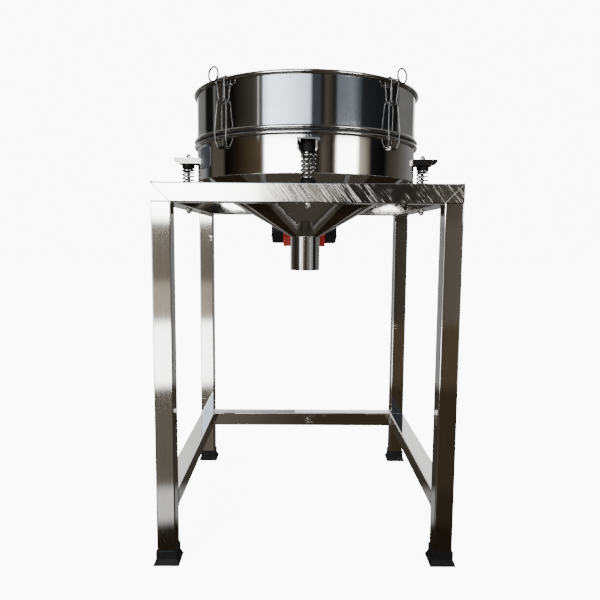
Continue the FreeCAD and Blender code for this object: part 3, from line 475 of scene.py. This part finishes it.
def weld_metal():
    """A TIG weld seam that was brushed and left bright."""
    material, tree, shader, place = new_material("stainless_308_tig_weld_brushed", Metallic=1.0)
    heat = noise(tree, place, 7, 3.0)
    tree.links.new(ramp(tree, heat, [(0.25, "#8f8a82"), (0.6, "#c9c7c3"), (0.8, "#b9ae9c")]),
                   shader.inputs["Base Color"])
    tree.links.new(between(tree, heat, 0.2, 0.38), shader.inputs["Roughness"])
    return material


def woven_wire(pitch):
    """Square-woven screen wire: two crossed sets of wires, with open holes between them."""
    material, tree, shader, place = new_material("stainless_304_woven_screen", Metallic=1.0, Roughness=0.28)
    shader.inputs["Base Color"].default_value = linear("#bcbbb8")
    parts = add(tree, "ShaderNodeSeparateXYZ", {"Vector": place}).outputs
    wires = []
    for axis in ("X", "Y"):
        phase = calculate(tree, "PINGPONG", parts[axis], pitch / 2 / MILLIMETRES)
        wires.append(calculate(tree, "DIVIDE", phase, pitch / 2 / MILLIMETRES))
    crown = calculate(tree, "MINIMUM", *wires)
    tree.links.new(bump(tree, calculate(tree, "SUBTRACT", 1.0, crown), 0.2, 0.8), shader.inputs["Normal"])
    tree.links.new(fade(tree, crown, 0.55, 0.5), shader.inputs["Alpha"])
    return material


PATCH_EDGE = 0.012
FRONT_PATCH = (-0.09, 0.07)
WAVE_PERIOD = 2 * math.pi / 20  # metres from wave to wave in a wave texture of scale 1
THREAD_SPACING = 2.4674
SCREEN_PITCH = 2.0
drum_steel = polished_sheet()
rail_steel = scuffed_tube("stainless_304_tube_scuffed", (0.02, 0.02, 1), (0, math.radians(38), 0),
                          (0.36, 0.52), 0.04, FRONT_PATCH)
leg_steel = scuffed_tube("stainless_304_tube_bright", (1, 1, 0.02), (0, math.radians(70), 0),
                         (0.62, 0.8), 0.02)
spring_steel = drawn_wire("stainless_302_spring_wire", ("#a9a8a6", "#c9c8c6"), 0.05)
# The latch wire's darker colours are painted shade: it is the same wire as the spring, darkened for the dim
# surroundings it reflects.
latch_steel = drawn_wire("stainless_302_latch_wire", ("#6b6a69", "#868584"), 0.3)
# The strip's dark colours are painted shade, for the dim surroundings that the brackets and lugs reflect.
bracket_steel = dulled_sheet("stainless_304_strip_brushed", ("#6b6a68", "#83827f"), (0.03, 1, 1), 0.1)
plate_steel = dulled_sheet("stainless_304_tag_brushed", ("#8d949c", "#a3a9b0"), (0.03, 0.03, 1), 0.34)
thread_steel = threaded_steel(THREAD_SPACING)
zinc_steel = plated_steel()
weld_steel = weld_metal()
screen_steel = woven_wire(SCREEN_PITCH)
print("metals:", drum_steel.name, rail_steel.name, spring_steel.name)

# %% [markdown]
# ### Rubber, enamel, castings and the motor's inside

# %% Other materials
def moulded_rubber(name, colour, roughness, grain):
    """Moulded rubber with a fine skin texture and dusty patches."""
    material, tree, shader, place = new_material(name, Specular_IOR_Level=0.22)
    skin = noise(tree, place, grain, 3.0)
    dust = noise(tree, place, 25, 3.0)
    dusty = [min(1.0, c * 1.7 + 0.003) for c in linear(colour)[:3]] + [1.0]
    tree.links.new(mix(tree, fade(tree, dust, 0.5, 0.8), linear(colour), dusty), shader.inputs["Base Color"])
    tree.links.new(between(tree, skin, roughness - 0.08, roughness + 0.1), shader.inputs["Roughness"])
    tree.links.new(bump(tree, skin, 0.05, 0.35), shader.inputs["Normal"])
    return material


def enamel(name, colour, roughness, orange_peel):
    """Sprayed enamel over a casting: orange peel, and painted shade in the hollows of the cast bump."""
    material, tree, shader, place = new_material(name, Specular_IOR_Level=0.3)
    peel = noise(tree, place, 2.5, 2.0)
    cast = noise(tree, place, 9, 4.0, 0.6)
    shade = linear(colour)
    # The hollows of the cast bump are painted a fifth darker: painted shade.
    painted_hollow_shade = [c * 0.8 for c in shade[:3]] + [1.0]
    tree.links.new(mix(tree, fade(tree, cast, 0.35, 0.7), painted_hollow_shade, shade), shader.inputs["Base Color"])
    tree.links.new(between(tree, cast, roughness + 0.08, roughness - 0.04), shader.inputs["Roughness"])
    tree.links.new(bump(tree, cast, 0.25, 0.35, bump(tree, peel, 0.05, orange_peel)), shader.inputs["Normal"])
    return material


def machined_metal(name, colours, roughness):
    """Turned or laminated iron and steel inside the motor, with rings about its own X axis."""
    material, tree, shader, place = new_material(name, Metallic=1.0, Roughness=roughness)
    rings = noise(tree, stretched(tree, place, (1, 0.05, 0.05)), 0.8, 2.0)
    tree.links.new(ramp(tree, rings, [(0.3, colours[0]), (0.7, colours[1])]), shader.inputs["Base Color"])
    tree.links.new(bump(tree, rings, 0.03, 0.4), shader.inputs["Normal"])
    return material


boot_rubber = moulded_rubber("moulded_rubber_black", "#030303", 0.6, 0.7)
gasket_rubber = moulded_rubber("extruded_silicone_black", "#111111", 0.38, 1.2)
red_enamel = enamel("cast_aluminium_red_enamel", "#8c1000", 0.42, 0.25)
black_enamel = enamel("pressed_steel_satin_black", "#18191a", 0.34, 0.2)
black_nylon = moulded_rubber("moulded_nylon_black", "#121212", 0.44, 0.9)
cast_iron = machined_metal("cast_iron_turned", ("#4a4947", "#6b6a67"), 0.48)
ground_steel = machined_metal("bearing_steel_ground", ("#a5a4a2", "#c8c7c5"), 0.18)
print("other materials:", boot_rubber.name, red_enamel.name, cast_iron.name)

# %% [markdown]
# ## Dress the frame
# Each CAD node takes a finish by the start of its name.

# %% Dress the frame
def dress(material, *prefixes):
    """Give a material to the CAD nodes whose names start so."""
    dressed = [name for name in nodes if name.startswith(prefixes)]
    for name in dressed:
        mesh = nodes[name].data
        mesh.materials.clear()
        mesh.materials.append(material)
    return len(dressed)


count = dress(drum_steel, "lower_shell", "upper_shell", "hopper_cone", "outlet_tube", "screen_ring",
              "motor_mount")
count += dress(bracket_steel, "spring_bracket", "latch_lugs")
count += dress(leg_steel, "leg_", "stretcher_")
count += dress(rail_steel, "rail_")
count += dress(latch_steel, "latch_frame", "latch_hook")
count += dress(spring_steel, *(f"spring_{side}" for side in QUARTERS))
count += dress(screen_steel, "screen_mesh")
count += dress(gasket_rubber, "screen_gasket")
count += dress(boot_rubber, "foot_boot", "spring_seats", "spring_cushions")
count += dress(thread_steel, "spring_studs")
count += dress(zinc_steel, "stud_washers", "stud_nuts", "cap_nuts", "motor_bolts")
count += dress(red_enamel, "motor_housing", "bearing_shields", "terminal_lid")
count += dress(black_enamel, "motor_cover")
count += dress(black_nylon, "cable_gland")
count += dress(cast_iron, "motor_stator", "rotor_core", "eccentric_weight")
count += dress(ground_steel, "rotor_shaft", "motor_bearings")
print("dressed", count, "of", len(nodes), "nodes")

# %% [markdown]
# ## Geometry Nodes: one tree for coil springs
# The tree bends a straight run of points into a coil. The first and last turns lie close
# together, as on a spring that stands flat on its seat, and the rest of the height is shared by
# the open turns.

# %% Coil spring tree
def new_tree(name, *sockets):
    """A geometry tree with the given named inputs, and its input and output nodes."""
    tree = bpy.data.node_groups.new(name, "GeometryNodeTree")
    tree.interface.new_socket("Geometry", in_out="INPUT", socket_type="NodeSocketGeometry")
    for label, kind in sockets:
        tree.interface.new_socket(label, in_out="INPUT", socket_type=f"NodeSocket{kind}")
    tree.interface.new_socket("Geometry", in_out="OUTPUT", socket_type="NodeSocketGeometry")
    return tree, add(tree, "NodeGroupInput").outputs


def finish_tree(tree, geometry, material):
    """Make the instances real, give them their material and end the tree."""
    real = add(tree, "GeometryNodeRealizeInstances", {"Geometry": geometry}).outputs[0]
    done = add(tree, "GeometryNodeSetMaterial", {"Geometry": real, "Material": material}).outputs[0]
    add(tree, "NodeGroupOutput", {"Geometry": done})


def grow(name, tree, inputs, mesh=None):
    """Run a tree on a mesh and return the result as a plain mesh object."""
    source = bpy.data.objects.new(f"{name}_source", mesh or bpy.data.meshes.new(f"{name}_source"))
    bpy.context.scene.collection.objects.link(source)
    modifier = source.modifiers.new("grow", "NODES")
    modifier.node_group = tree
    identifiers = {item.name: item.identifier for item in tree.interface.items_tree if item.in_out == "INPUT"}
    for label, value in inputs.items():
        modifier[identifiers[label]] = value
    evaluated = source.evaluated_get(bpy.context.evaluated_depsgraph_get())
    grown = bpy.data.meshes.new_from_object(evaluated)
    bpy.data.objects.remove(source)
    grown.name = name
    piece = bpy.data.objects.new(name, grown)
    bpy.context.scene.collection.objects.link(piece)
    for polygon in grown.polygons:
        polygon.use_smooth = True
    return piece


def coil_tree():
    """A straight run of points wound into a coil with closed ends, and given a round section."""
    tree, given = new_tree("coil_spring", ("Coil Radius", "Float"), ("Wire Radius", "Float"),
                           ("Height", "Float"), ("Turns", "Float"), ("Closed Turns", "Float"),
                           ("Material", "Material"))
    line = add(tree, "GeometryNodeCurvePrimitiveLine").outputs[0]
    run = add(tree, "GeometryNodeResampleCurve", {"Curve": line, "Count": COIL_POINTS}).outputs[0]
    along = add(tree, "GeometryNodeSplineParameter").outputs["Factor"]
    angle = calculate(tree, "MULTIPLY", calculate(tree, "MULTIPLY", along, given["Turns"]), 2 * math.pi)
    share = calculate(tree, "DIVIDE", given["Closed Turns"], given["Turns"])
    closed = calculate(tree, "MULTIPLY", calculate(tree, "MULTIPLY", given["Wire Radius"], CLOSED_PITCH),
                       given["Closed Turns"])
    wire = calculate(tree, "MULTIPLY", given["Wire Radius"], 2.0)
    free = calculate(tree, "SUBTRACT", given["Height"], wire)
    opened = calculate(tree, "SUBTRACT", free, calculate(tree, "MULTIPLY", closed, 2.0))
    far = calculate(tree, "SUBTRACT", 1.0, share)
    climb = given["Wire Radius"]
    for start, end, rise in ((0.0, share, closed), (share, far, opened), (far, 1.0, closed)):
        step = add(tree, "ShaderNodeMapRange", {"Value": along, "From Min": start,
                                                "From Max": end}).outputs[0]
        climb = calculate(tree, "MULTIPLY_ADD", step, rise, climb)
    place = add(tree, "ShaderNodeCombineXYZ", {
        "X": calculate(tree, "MULTIPLY", calculate(tree, "COSINE", angle), given["Coil Radius"]),
        "Y": calculate(tree, "MULTIPLY", calculate(tree, "SINE", angle), given["Coil Radius"]),
        "Z": climb}).outputs[0]
    wound = add(tree, "GeometryNodeSetPosition", {"Geometry": run, "Position": place}).outputs[0]
    section = add(tree, "GeometryNodeCurvePrimitiveCircle", {"Resolution": WIRE_SIDES,
                                                             "Radius": given["Wire Radius"]})
    coil = add(tree, "GeometryNodeCurveToMesh", {"Curve": wound, "Profile Curve": section.outputs[0],
                                                 "Fill Caps": True}).outputs[0]
    finish_tree(tree, coil, given["Material"])
    return tree


COIL_POINTS, WIRE_SIDES = 420, 14
CLOSED_PITCH = 2.04  # wire radii from turn to turn where the coil is closed
WIRE_RADIUS = 0.0019
COIL_TURNS, CLOSED_TURNS = 6.75, 0.9
COIL_SPREAD = 0.0006
coil_maker = coil_tree()
for side, degrees in QUARTERS.items():
    coil = grow(f"wound_spring_{side}", coil_maker, {
        "Coil Radius": COIL_OUTER + COIL_SPREAD - WIRE_RADIUS, "Wire Radius": WIRE_RADIUS,
        "Height": COIL_TOP - COIL_FLOOR, "Turns": COIL_TURNS, "Closed Turns": CLOSED_TURNS,
        "Material": spring_steel})
    turn = Matrix.Rotation(math.radians(degrees), 4, "Z")
    coil.data.transform(turn @ Matrix.Translation((0, -SPRING_LINE, COIL_FLOOR)))
    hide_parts(f"spring_{side}")
    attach(coil, "table")
    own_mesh(coil)
print("coil springs: 4,", len(coil.data.polygons), "faces each")

# %% [markdown]
# ## Weld seams
# A TIG seam is a string of overlapping ripples, where the welder dips the rod at an even pace. The
# tree runs along any path of edges: the radius of the bead rises and falls once per ripple, and
# varies a little from point to point, as a hand does. Half of the bead is sunk in the sheet. One
# mesh holds all the seams of the drum, and a second one those of the table.

# %% Weld tree
def weld_tree():
    """A rippled bead along every edge path of a mesh."""
    tree, given = new_tree("weld_seam", ("Bead Radius", "Float"), ("Ripple", "Float"), ("Depth", "Float"),
                           ("Seed", "Int"), ("Material", "Material"))
    path = add(tree, "GeometryNodeMeshToCurve", {"Mesh": given["Geometry"]}).outputs[0]
    step = calculate(tree, "DIVIDE", given["Ripple"], RIPPLE_POINTS)
    run = add(tree, "GeometryNodeResampleCurve", {"Curve": path, "Length": step}, mode="LENGTH").outputs[0]
    along = add(tree, "GeometryNodeSplineParameter").outputs["Length"]
    half = calculate(tree, "DIVIDE", given["Ripple"], 2.0)
    wave = calculate(tree, "DIVIDE", calculate(tree, "PINGPONG", along, half), half)
    swell = calculate(tree, "SUBTRACT", 1.0, calculate(tree, "MULTIPLY", wave, given["Depth"]))
    hand = add(tree, "FunctionNodeRandomValue", {2: HAND_LOW, 3: HAND_HIGH, "Seed": given["Seed"]},
               data_type="FLOAT")
    swell = calculate(tree, "MULTIPLY", swell, hand.outputs[1])
    radius = calculate(tree, "MULTIPLY", swell, given["Bead Radius"])
    section = add(tree, "GeometryNodeCurvePrimitiveCircle", {"Resolution": 8, "Radius": 1.0})
    bead = add(tree, "GeometryNodeCurveToMesh", {"Curve": run, "Profile Curve": section.outputs[0],
                                                 "Scale": radius, "Fill Caps": True}).outputs[0]
    finish_tree(tree, bead, given["Material"])
    return tree


RIPPLE_POINTS = 4
HAND_LOW, HAND_HIGH = 0.93, 1.07
SEAM_RIPPLE, SEAM_DEPTH = 0.0028, 0.22
DRUM_BEAD, TABLE_BEAD = 0.0011, 0.0009
ARC_STEP = 3
weld_maker = weld_tree()
print("weld tree:", len(weld_maker.nodes), "nodes")

# %% [markdown]
# The paths are worked out from the frame. On the drum they are the seam between wall and cone, the
# seam between cone and outlet, and an arc behind each spring bracket. On the table they are the
# mitres of the top rails, the inner corners where the legs meet the rails, and the ends of the
# stretchers.

# %% Weld paths
def arc(radius, height, start=0, end=360):
    """Points round the drum's axis, by degrees from the front."""
    steps = max(4, round(abs(end - start) / ARC_STEP))
    angles = [math.radians(start + (end - start) * i / steps) for i in range(steps + 1)]
    return [(radius * math.sin(a), -radius * math.cos(a), height) for a in angles]


def path_mesh(name, runs):
    """Polylines as one mesh of edges. A run that ends where it starts becomes a closed loop."""
    points, edges = [], []
    for run in runs:
        closed = (Vector(run[0]) - Vector(run[-1])).length < 1e-6
        kept = run[:-1] if closed else run
        first = len(points)
        points += kept
        edges += [(first + i, first + i + 1) for i in range(len(kept) - 1)]
        if closed:
            edges.append((len(points) - 1, first))
    mesh = bpy.data.meshes.new(name)
    mesh.from_pydata(points, edges, [])
    return mesh


def weld(name, runs, bead_radius, body, seed):
    """Run a seam along each path and let it ride on a body."""
    seam = grow(name, weld_maker, {"Bead Radius": bead_radius, "Ripple": SEAM_RIPPLE, "Depth": SEAM_DEPTH,
                                   "Seed": seed, "Material": weld_steel}, path_mesh(name, runs))
    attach(seam, body)
    print(name, len(runs), "runs,", len(seam.data.polygons), "faces")


bracket_reach = math.degrees(math.asin(BRACKET_HALF / DRUM_RADIUS))
drum_runs = [arc(DRUM_RADIUS, DRUM_FLOOR), arc(OUTLET_RADIUS, CONE_THROAT)]
drum_runs += [arc(DRUM_RADIUS, BRACKET_TOP, degrees - bracket_reach, degrees + bracket_reach)
              for degrees in QUARTERS.values()]
table_runs = []
for i in (-1, 1):
    for j in (-1, 1):
        outer, inner, front, back = i * TABLE_SIDE, i * RAIL_INNER, j * TABLE_SIDE, j * RAIL_INNER
        table_runs.append([(outer, front, TABLE_TOP), (inner, back, TABLE_TOP)])
        table_runs.append([(outer, front, TABLE_TOP), (inner, front, RAIL_FLOOR)])
        table_runs.append([(inner, front, RAIL_FLOOR), (inner, back, RAIL_FLOOR), (outer, back, RAIL_FLOOR)])
        end = j * STRETCHER_END
        table_runs.append([(inner, end, STRETCHER_FLOOR), (outer, end, STRETCHER_FLOOR),
                           (outer, end, STRETCHER_TOP), (inner, end, STRETCHER_TOP),
                           (inner, end, STRETCHER_FLOOR)])
    end = i * STRETCHER_END
    table_runs.append([(end, RAIL_INNER, STRETCHER_FLOOR), (end, TABLE_SIDE, STRETCHER_FLOOR),
                       (end, TABLE_SIDE, STRETCHER_TOP), (end, RAIL_INNER, STRETCHER_TOP),
                       (end, RAIL_INNER, STRETCHER_FLOOR)])
weld("drum_weld_seams", drum_runs, DRUM_BEAD, "drum", 3)
weld("table_weld_seams", table_runs, TABLE_BEAD, "table", 5)

# %% [markdown]
# ## Turned hexagons: the nuts
# A hexagon nut is cut from hexagon bar and then turned, which gives its corners their curved
# chamfers. The same thing is done here: a hexagon is limited, ring by ring, by the cone or the dome
# that the tool would leave.

# %% Nut shapes
HEXAGON_POINTS = 48
CHAMFER_SHARE, FACE_SHARE, SHOULDER_SHARE = 0.06, 0.47, 0.52
NECK_SHARE, CAP_SHARE = 0.48, 0.44


def flat_radius(across, angle):
    """How far a hexagon of this width across flats reaches in one direction."""
    return across / 2 / math.cos((angle + math.pi / 6) % (math.pi / 3) - math.pi / 6)


def band_faces(low_ring, high_ring, count):
    """The faces between two rings that have this many points each."""
    return [(low_ring * count + k, low_ring * count + (k + 1) % count,
             high_ring * count + (k + 1) % count, high_ring * count + k) for k in range(count)]


def turned_hexagon(across, rings, closed):
    """Rings of (height, turned radius) round Z, never outside a hexagon of this width across flats."""
    points, faces = [], []
    for height, limit in rings:
        for k in range(HEXAGON_POINTS):
            angle = 2 * math.pi * k / HEXAGON_POINTS
            radius = min(flat_radius(across, angle), limit)
            points.append((radius * math.cos(angle), radius * math.sin(angle), height))
    pairs = [(r, r + 1) for r in range(len(rings) - 1)] + ([(len(rings) - 1, 0)] if closed else [])
    for low_ring, high_ring in pairs:
        faces += band_faces(low_ring, high_ring, HEXAGON_POINTS)
    if not closed:
        last = (len(rings) - 1) * HEXAGON_POINTS
        faces.append(tuple(range(HEXAGON_POINTS - 1, -1, -1)))
        faces.append(tuple(range(last, last + HEXAGON_POINTS)))
    mesh = bpy.data.meshes.new("turned_hexagon")
    mesh.from_pydata(points, [], faces)
    return mesh


def plain_nut(across, height, bore):
    """A nut chamfered on both faces, with an open bore."""
    corner, chamfer = across / math.sqrt(3), across * CHAMFER_SHARE
    return turned_hexagon(across, [
        (0, bore), (0, across * FACE_SHARE), (chamfer * 0.5, across * SHOULDER_SHARE),
        (chamfer, corner), (height - chamfer, corner),
        (height - chamfer * 0.5, across * SHOULDER_SHARE), (height, across * FACE_SHARE),
        (height, bore)], True)


def domed_nut(across, height, hexagon):
    """A domed cap nut: a chamfered hexagon, a neck and a round cap."""
    corner, chamfer, cap = across / math.sqrt(3), across * CHAMFER_SHARE, across * CAP_SHARE
    rings = [(0, across * FACE_SHARE), (chamfer * 0.5, across * SHOULDER_SHARE), (chamfer, corner),
             (hexagon - chamfer, corner), (hexagon - chamfer * 0.5, across * SHOULDER_SHARE),
             (hexagon, across * NECK_SHARE), (hexagon, cap)]
    for k in range(1, 7):
        lift = math.radians(90 * k / 6.5)
        rings.append((hexagon + (height - hexagon) * math.sin(lift), cap * math.cos(lift)))
    return turned_hexagon(across, rings, False)


NUT_ACROSS = 2 * (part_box("cap_nuts")[1].x - SPRING_LINE) * math.sqrt(3) / 2
print("nut across flats:", round(NUT_ACROSS * 1000, 2), "mm")

# %% [markdown]
# ## Geometry Nodes: one tree for every small fastener
# Nuts, rivets and screws are all one head that repeats on a set of places. The tree puts the head
# on each point of a mesh and turns its Z towards the direction that the point carries.

# %% Fastener tree
def fastener_tree():
    """One head on every point of a mesh, its Z along the direction that the point carries."""
    tree, given = new_tree("set_fasteners", ("Head", "Object"), ("Material", "Material"))
    head = add(tree, "GeometryNodeObjectInfo", {"Object": given["Head"]}).outputs["Geometry"]
    facing = add(tree, "GeometryNodeInputNamedAttribute", {"Name": "facing"},
                 data_type="FLOAT_VECTOR").outputs[0]
    turn = add(tree, "FunctionNodeAlignRotationToVector", {"Vector": facing}, axis="Z").outputs[0]
    heads = add(tree, "GeometryNodeInstanceOnPoints", {"Points": given["Geometry"], "Instance": head,
                                                       "Rotation": turn}).outputs[0]
    finish_tree(tree, heads, given["Material"])
    return tree


fastener_maker = fastener_tree()


def fasten(name, head_mesh, places, material, body):
    """Put one head on each (place, facing) and let them ride on a body."""
    head = bpy.data.objects.new(f"{name}_head", head_mesh)
    bpy.context.scene.collection.objects.link(head)
    mesh = bpy.data.meshes.new(f"{name}_places")
    mesh.from_pydata([tuple(place) for place, _ in places], [], [])
    facing = mesh.attributes.new("facing", "FLOAT_VECTOR", "POINT")
    facing.data.foreach_set("vector", [c for _, direction in places for c in direction])
    piece = grow(name, fastener_maker, {"Head": head, "Material": material}, mesh)
    bpy.data.objects.remove(head)
    shade_by_angle(piece.data)
    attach(piece, body)
    print(name, len(places), "pieces,", len(piece.data.polygons), "faces")
    return piece


def shade_by_angle(mesh, degrees=32):
    """Keep the edges of a machined part crisp, and the rest smooth."""
    sheet = bmesh.new()
    sheet.from_mesh(mesh)
    for edge in sheet.edges:
        edge.smooth = len(edge.link_faces) == 2 and edge.calc_face_angle() < math.radians(degrees)
    sheet.to_mesh(mesh)
    sheet.free()


def on_springs(height):
    """The four spring axes at one height, facing up."""
    angles = [math.radians(degrees) for degrees in QUARTERS.values()]
    return [((SPRING_LINE * math.sin(a), -SPRING_LINE * math.cos(a), height), (0, 0, 1)) for a in angles]


cap_hexagon = (CAP_TOP - CAP_FLOOR) / 2
caps = fasten("domed_cap_nuts", domed_nut(NUT_ACROSS, CAP_TOP - CAP_FLOOR, cap_hexagon),
              on_springs(CAP_FLOOR), zinc_steel, "table")
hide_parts("cap_nuts")
lower = fasten("chamfered_stud_nuts", plain_nut(NUT_ACROSS, NUT_TOP - NUT_FLOOR, STUD_RADIUS),
               on_springs(NUT_FLOOR), zinc_steel, "table")
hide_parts("stud_nuts")

# %% [markdown]
# ## Screws on the motor
# Each end cover is held by four socket screws near its rim, and the lid of the terminal box by four
# small ones. Their heads have a real hexagon socket, so that they catch the light as screws do.

# %% Socket screws
def socket_screw(radius, height, key, depth):
    """A cylinder head with a rounded edge and a hexagon socket, its seat at Z = 0."""
    edge = radius * 0.15
    profile = [(0, radius), (height - edge, radius), (height - edge * 0.3, radius - edge * 0.3),
               (height, radius - edge)]
    points, faces = [], []
    around = [2 * math.pi * k / SCREW_POINTS for k in range(SCREW_POINTS)]
    for z, r in profile:
        points += [(r * math.cos(angle), r * math.sin(angle), z) for angle in around]
    for z in (height, height - depth):
        for angle in around:
            flat = flat_radius(key, angle)
            points.append((flat * math.cos(angle), flat * math.sin(angle), z))
    for ring in range(len(points) // SCREW_POINTS - 1):
        faces += band_faces(ring, ring + 1, SCREW_POINTS)
    faces.append(tuple(range(SCREW_POINTS - 1, -1, -1)))
    faces.append(tuple(range(len(points) - SCREW_POINTS, len(points))))
    mesh = bpy.data.meshes.new("socket_screw")
    mesh.from_pydata(points, [], faces)
    return mesh


SCREW_POINTS = 24
COVER_SCREW = {"radius": 0.0028, "height": 0.0026, "key": 0.0028, "depth": 0.0016}
LID_SCREW = {"radius": 0.0018, "height": 0.001, "key": 0.0018, "depth": 0.0007}
COVER_SCREW_RING, LID_SCREW_INSET = 0.72, 0.007
ring = COVER_RADIUS * COVER_SCREW_RING
cover_places = []
for side in (-1, 1):
    for k in range(4):
        angle = math.radians(45 + 90 * k)
        place = (side * COVER_END, MOTOR_AXIS.y + ring * math.cos(angle), MOTOR_AXIS.z + ring * math.sin(angle))
        cover_places.append((place, (side, 0, 0)))
fasten("cover_screws", socket_screw(**COVER_SCREW), cover_places, zinc_steel, "drum")
lid_x, lid_y = LID_LENGTH / 2 - LID_SCREW_INSET, LID_WIDTH / 2 - LID_SCREW_INSET
lid_places = [((i * lid_x, MOTOR_AXIS.y + j * lid_y, LID_FLOOR), (0, 0, -1)) for i in (-1, 1) for j in (-1, 1)]
fasten("lid_screws", socket_screw(**LID_SCREW), lid_places, zinc_steel, "drum")

# %% [markdown]
# ## The bare plate
# A thin brushed tag is rolled to the drum's curve and riveted on its left side. Its corners are
# rounded, and it is left bare.

# %% Bare plate and its rivets
PLATE_START, PLATE_END = -67.0, -54.0
PLATE_FLOOR, PLATE_TOP = DRUM_FLOOR + 0.022, DRUM_FLOOR + 0.068
PLATE_THICK, PLATE_GAP, PLATE_CORNER = 0.0006, 0.0001, 0.003
PLATE_COLUMNS, PLATE_ROWS = 26, 14
RIVET_RADIUS, RIVET_HEIGHT = 0.0016, 0.0008
RIVET_INSET, RIVET_TURN = 0.0045, 1.0


def rolled_plate():
    """A rounded rectangle laid on the drum's wall, and given its thickness outwards."""
    width = math.radians(PLATE_END - PLATE_START) * DRUM_RADIUS
    height = PLATE_TOP - PLATE_FLOOR
    points, faces = [], []
    for row in range(PLATE_ROWS + 1):
        up = height * row / PLATE_ROWS
        edge = max(0.0, PLATE_CORNER - min(up, height - up))
        inset = PLATE_CORNER - math.sqrt(max(0.0, PLATE_CORNER ** 2 - edge ** 2))
        for column in range(PLATE_COLUMNS + 1):
            across = inset + (width - 2 * inset) * column / PLATE_COLUMNS
            angle = math.radians(PLATE_START) + across / DRUM_RADIUS
            radius = DRUM_RADIUS + PLATE_GAP
            points.append((radius * math.sin(angle), -radius * math.cos(angle), PLATE_FLOOR + up))
    for row in range(PLATE_ROWS):
        for column in range(PLATE_COLUMNS):
            corner = row * (PLATE_COLUMNS + 1) + column
            faces.append((corner, corner + 1, corner + PLATE_COLUMNS + 2, corner + PLATE_COLUMNS + 1))
    mesh = bpy.data.meshes.new("bare_plate")
    mesh.from_pydata(points, [], faces)
    plate = bpy.data.objects.new("bare_plate", mesh)
    bpy.context.scene.collection.objects.link(plate)
    wall = plate.modifiers.new("thickness", "SOLIDIFY")
    wall.thickness, wall.offset = PLATE_THICK, 1.0
    solid = bpy.data.meshes.new_from_object(plate.evaluated_get(bpy.context.evaluated_depsgraph_get()))
    plate.modifiers.clear()
    plate.data = solid
    solid.materials.append(plate_steel)
    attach(plate, "drum")
    return plate


def rivet_head(radius, height):
    """A low domed rivet head, its seat at Z = 0."""
    rings = [(0, radius)]
    for k in range(1, 4):
        lift = math.radians(90 * k / 3.6)
        rings.append((height * math.sin(lift), radius * math.cos(lift)))
    return turned_hexagon(radius * 3, rings, False)


plate = rolled_plate()
rivet_places = []
for degrees in (PLATE_START + RIVET_TURN, PLATE_END - RIVET_TURN):
    for height in (PLATE_FLOOR + RIVET_INSET, PLATE_TOP - RIVET_INSET):
        outwards = (math.sin(math.radians(degrees)), -math.cos(math.radians(degrees)), 0)
        radius = DRUM_RADIUS + PLATE_GAP + PLATE_THICK
        rivet_places.append(((radius * outwards[0], radius * outwards[1], height), outwards))
fasten("plate_rivets", rivet_head(RIVET_RADIUS, RIVET_HEIGHT), rivet_places, zinc_steel, "drum")
print("bare plate:", len(plate.data.polygons), "faces")
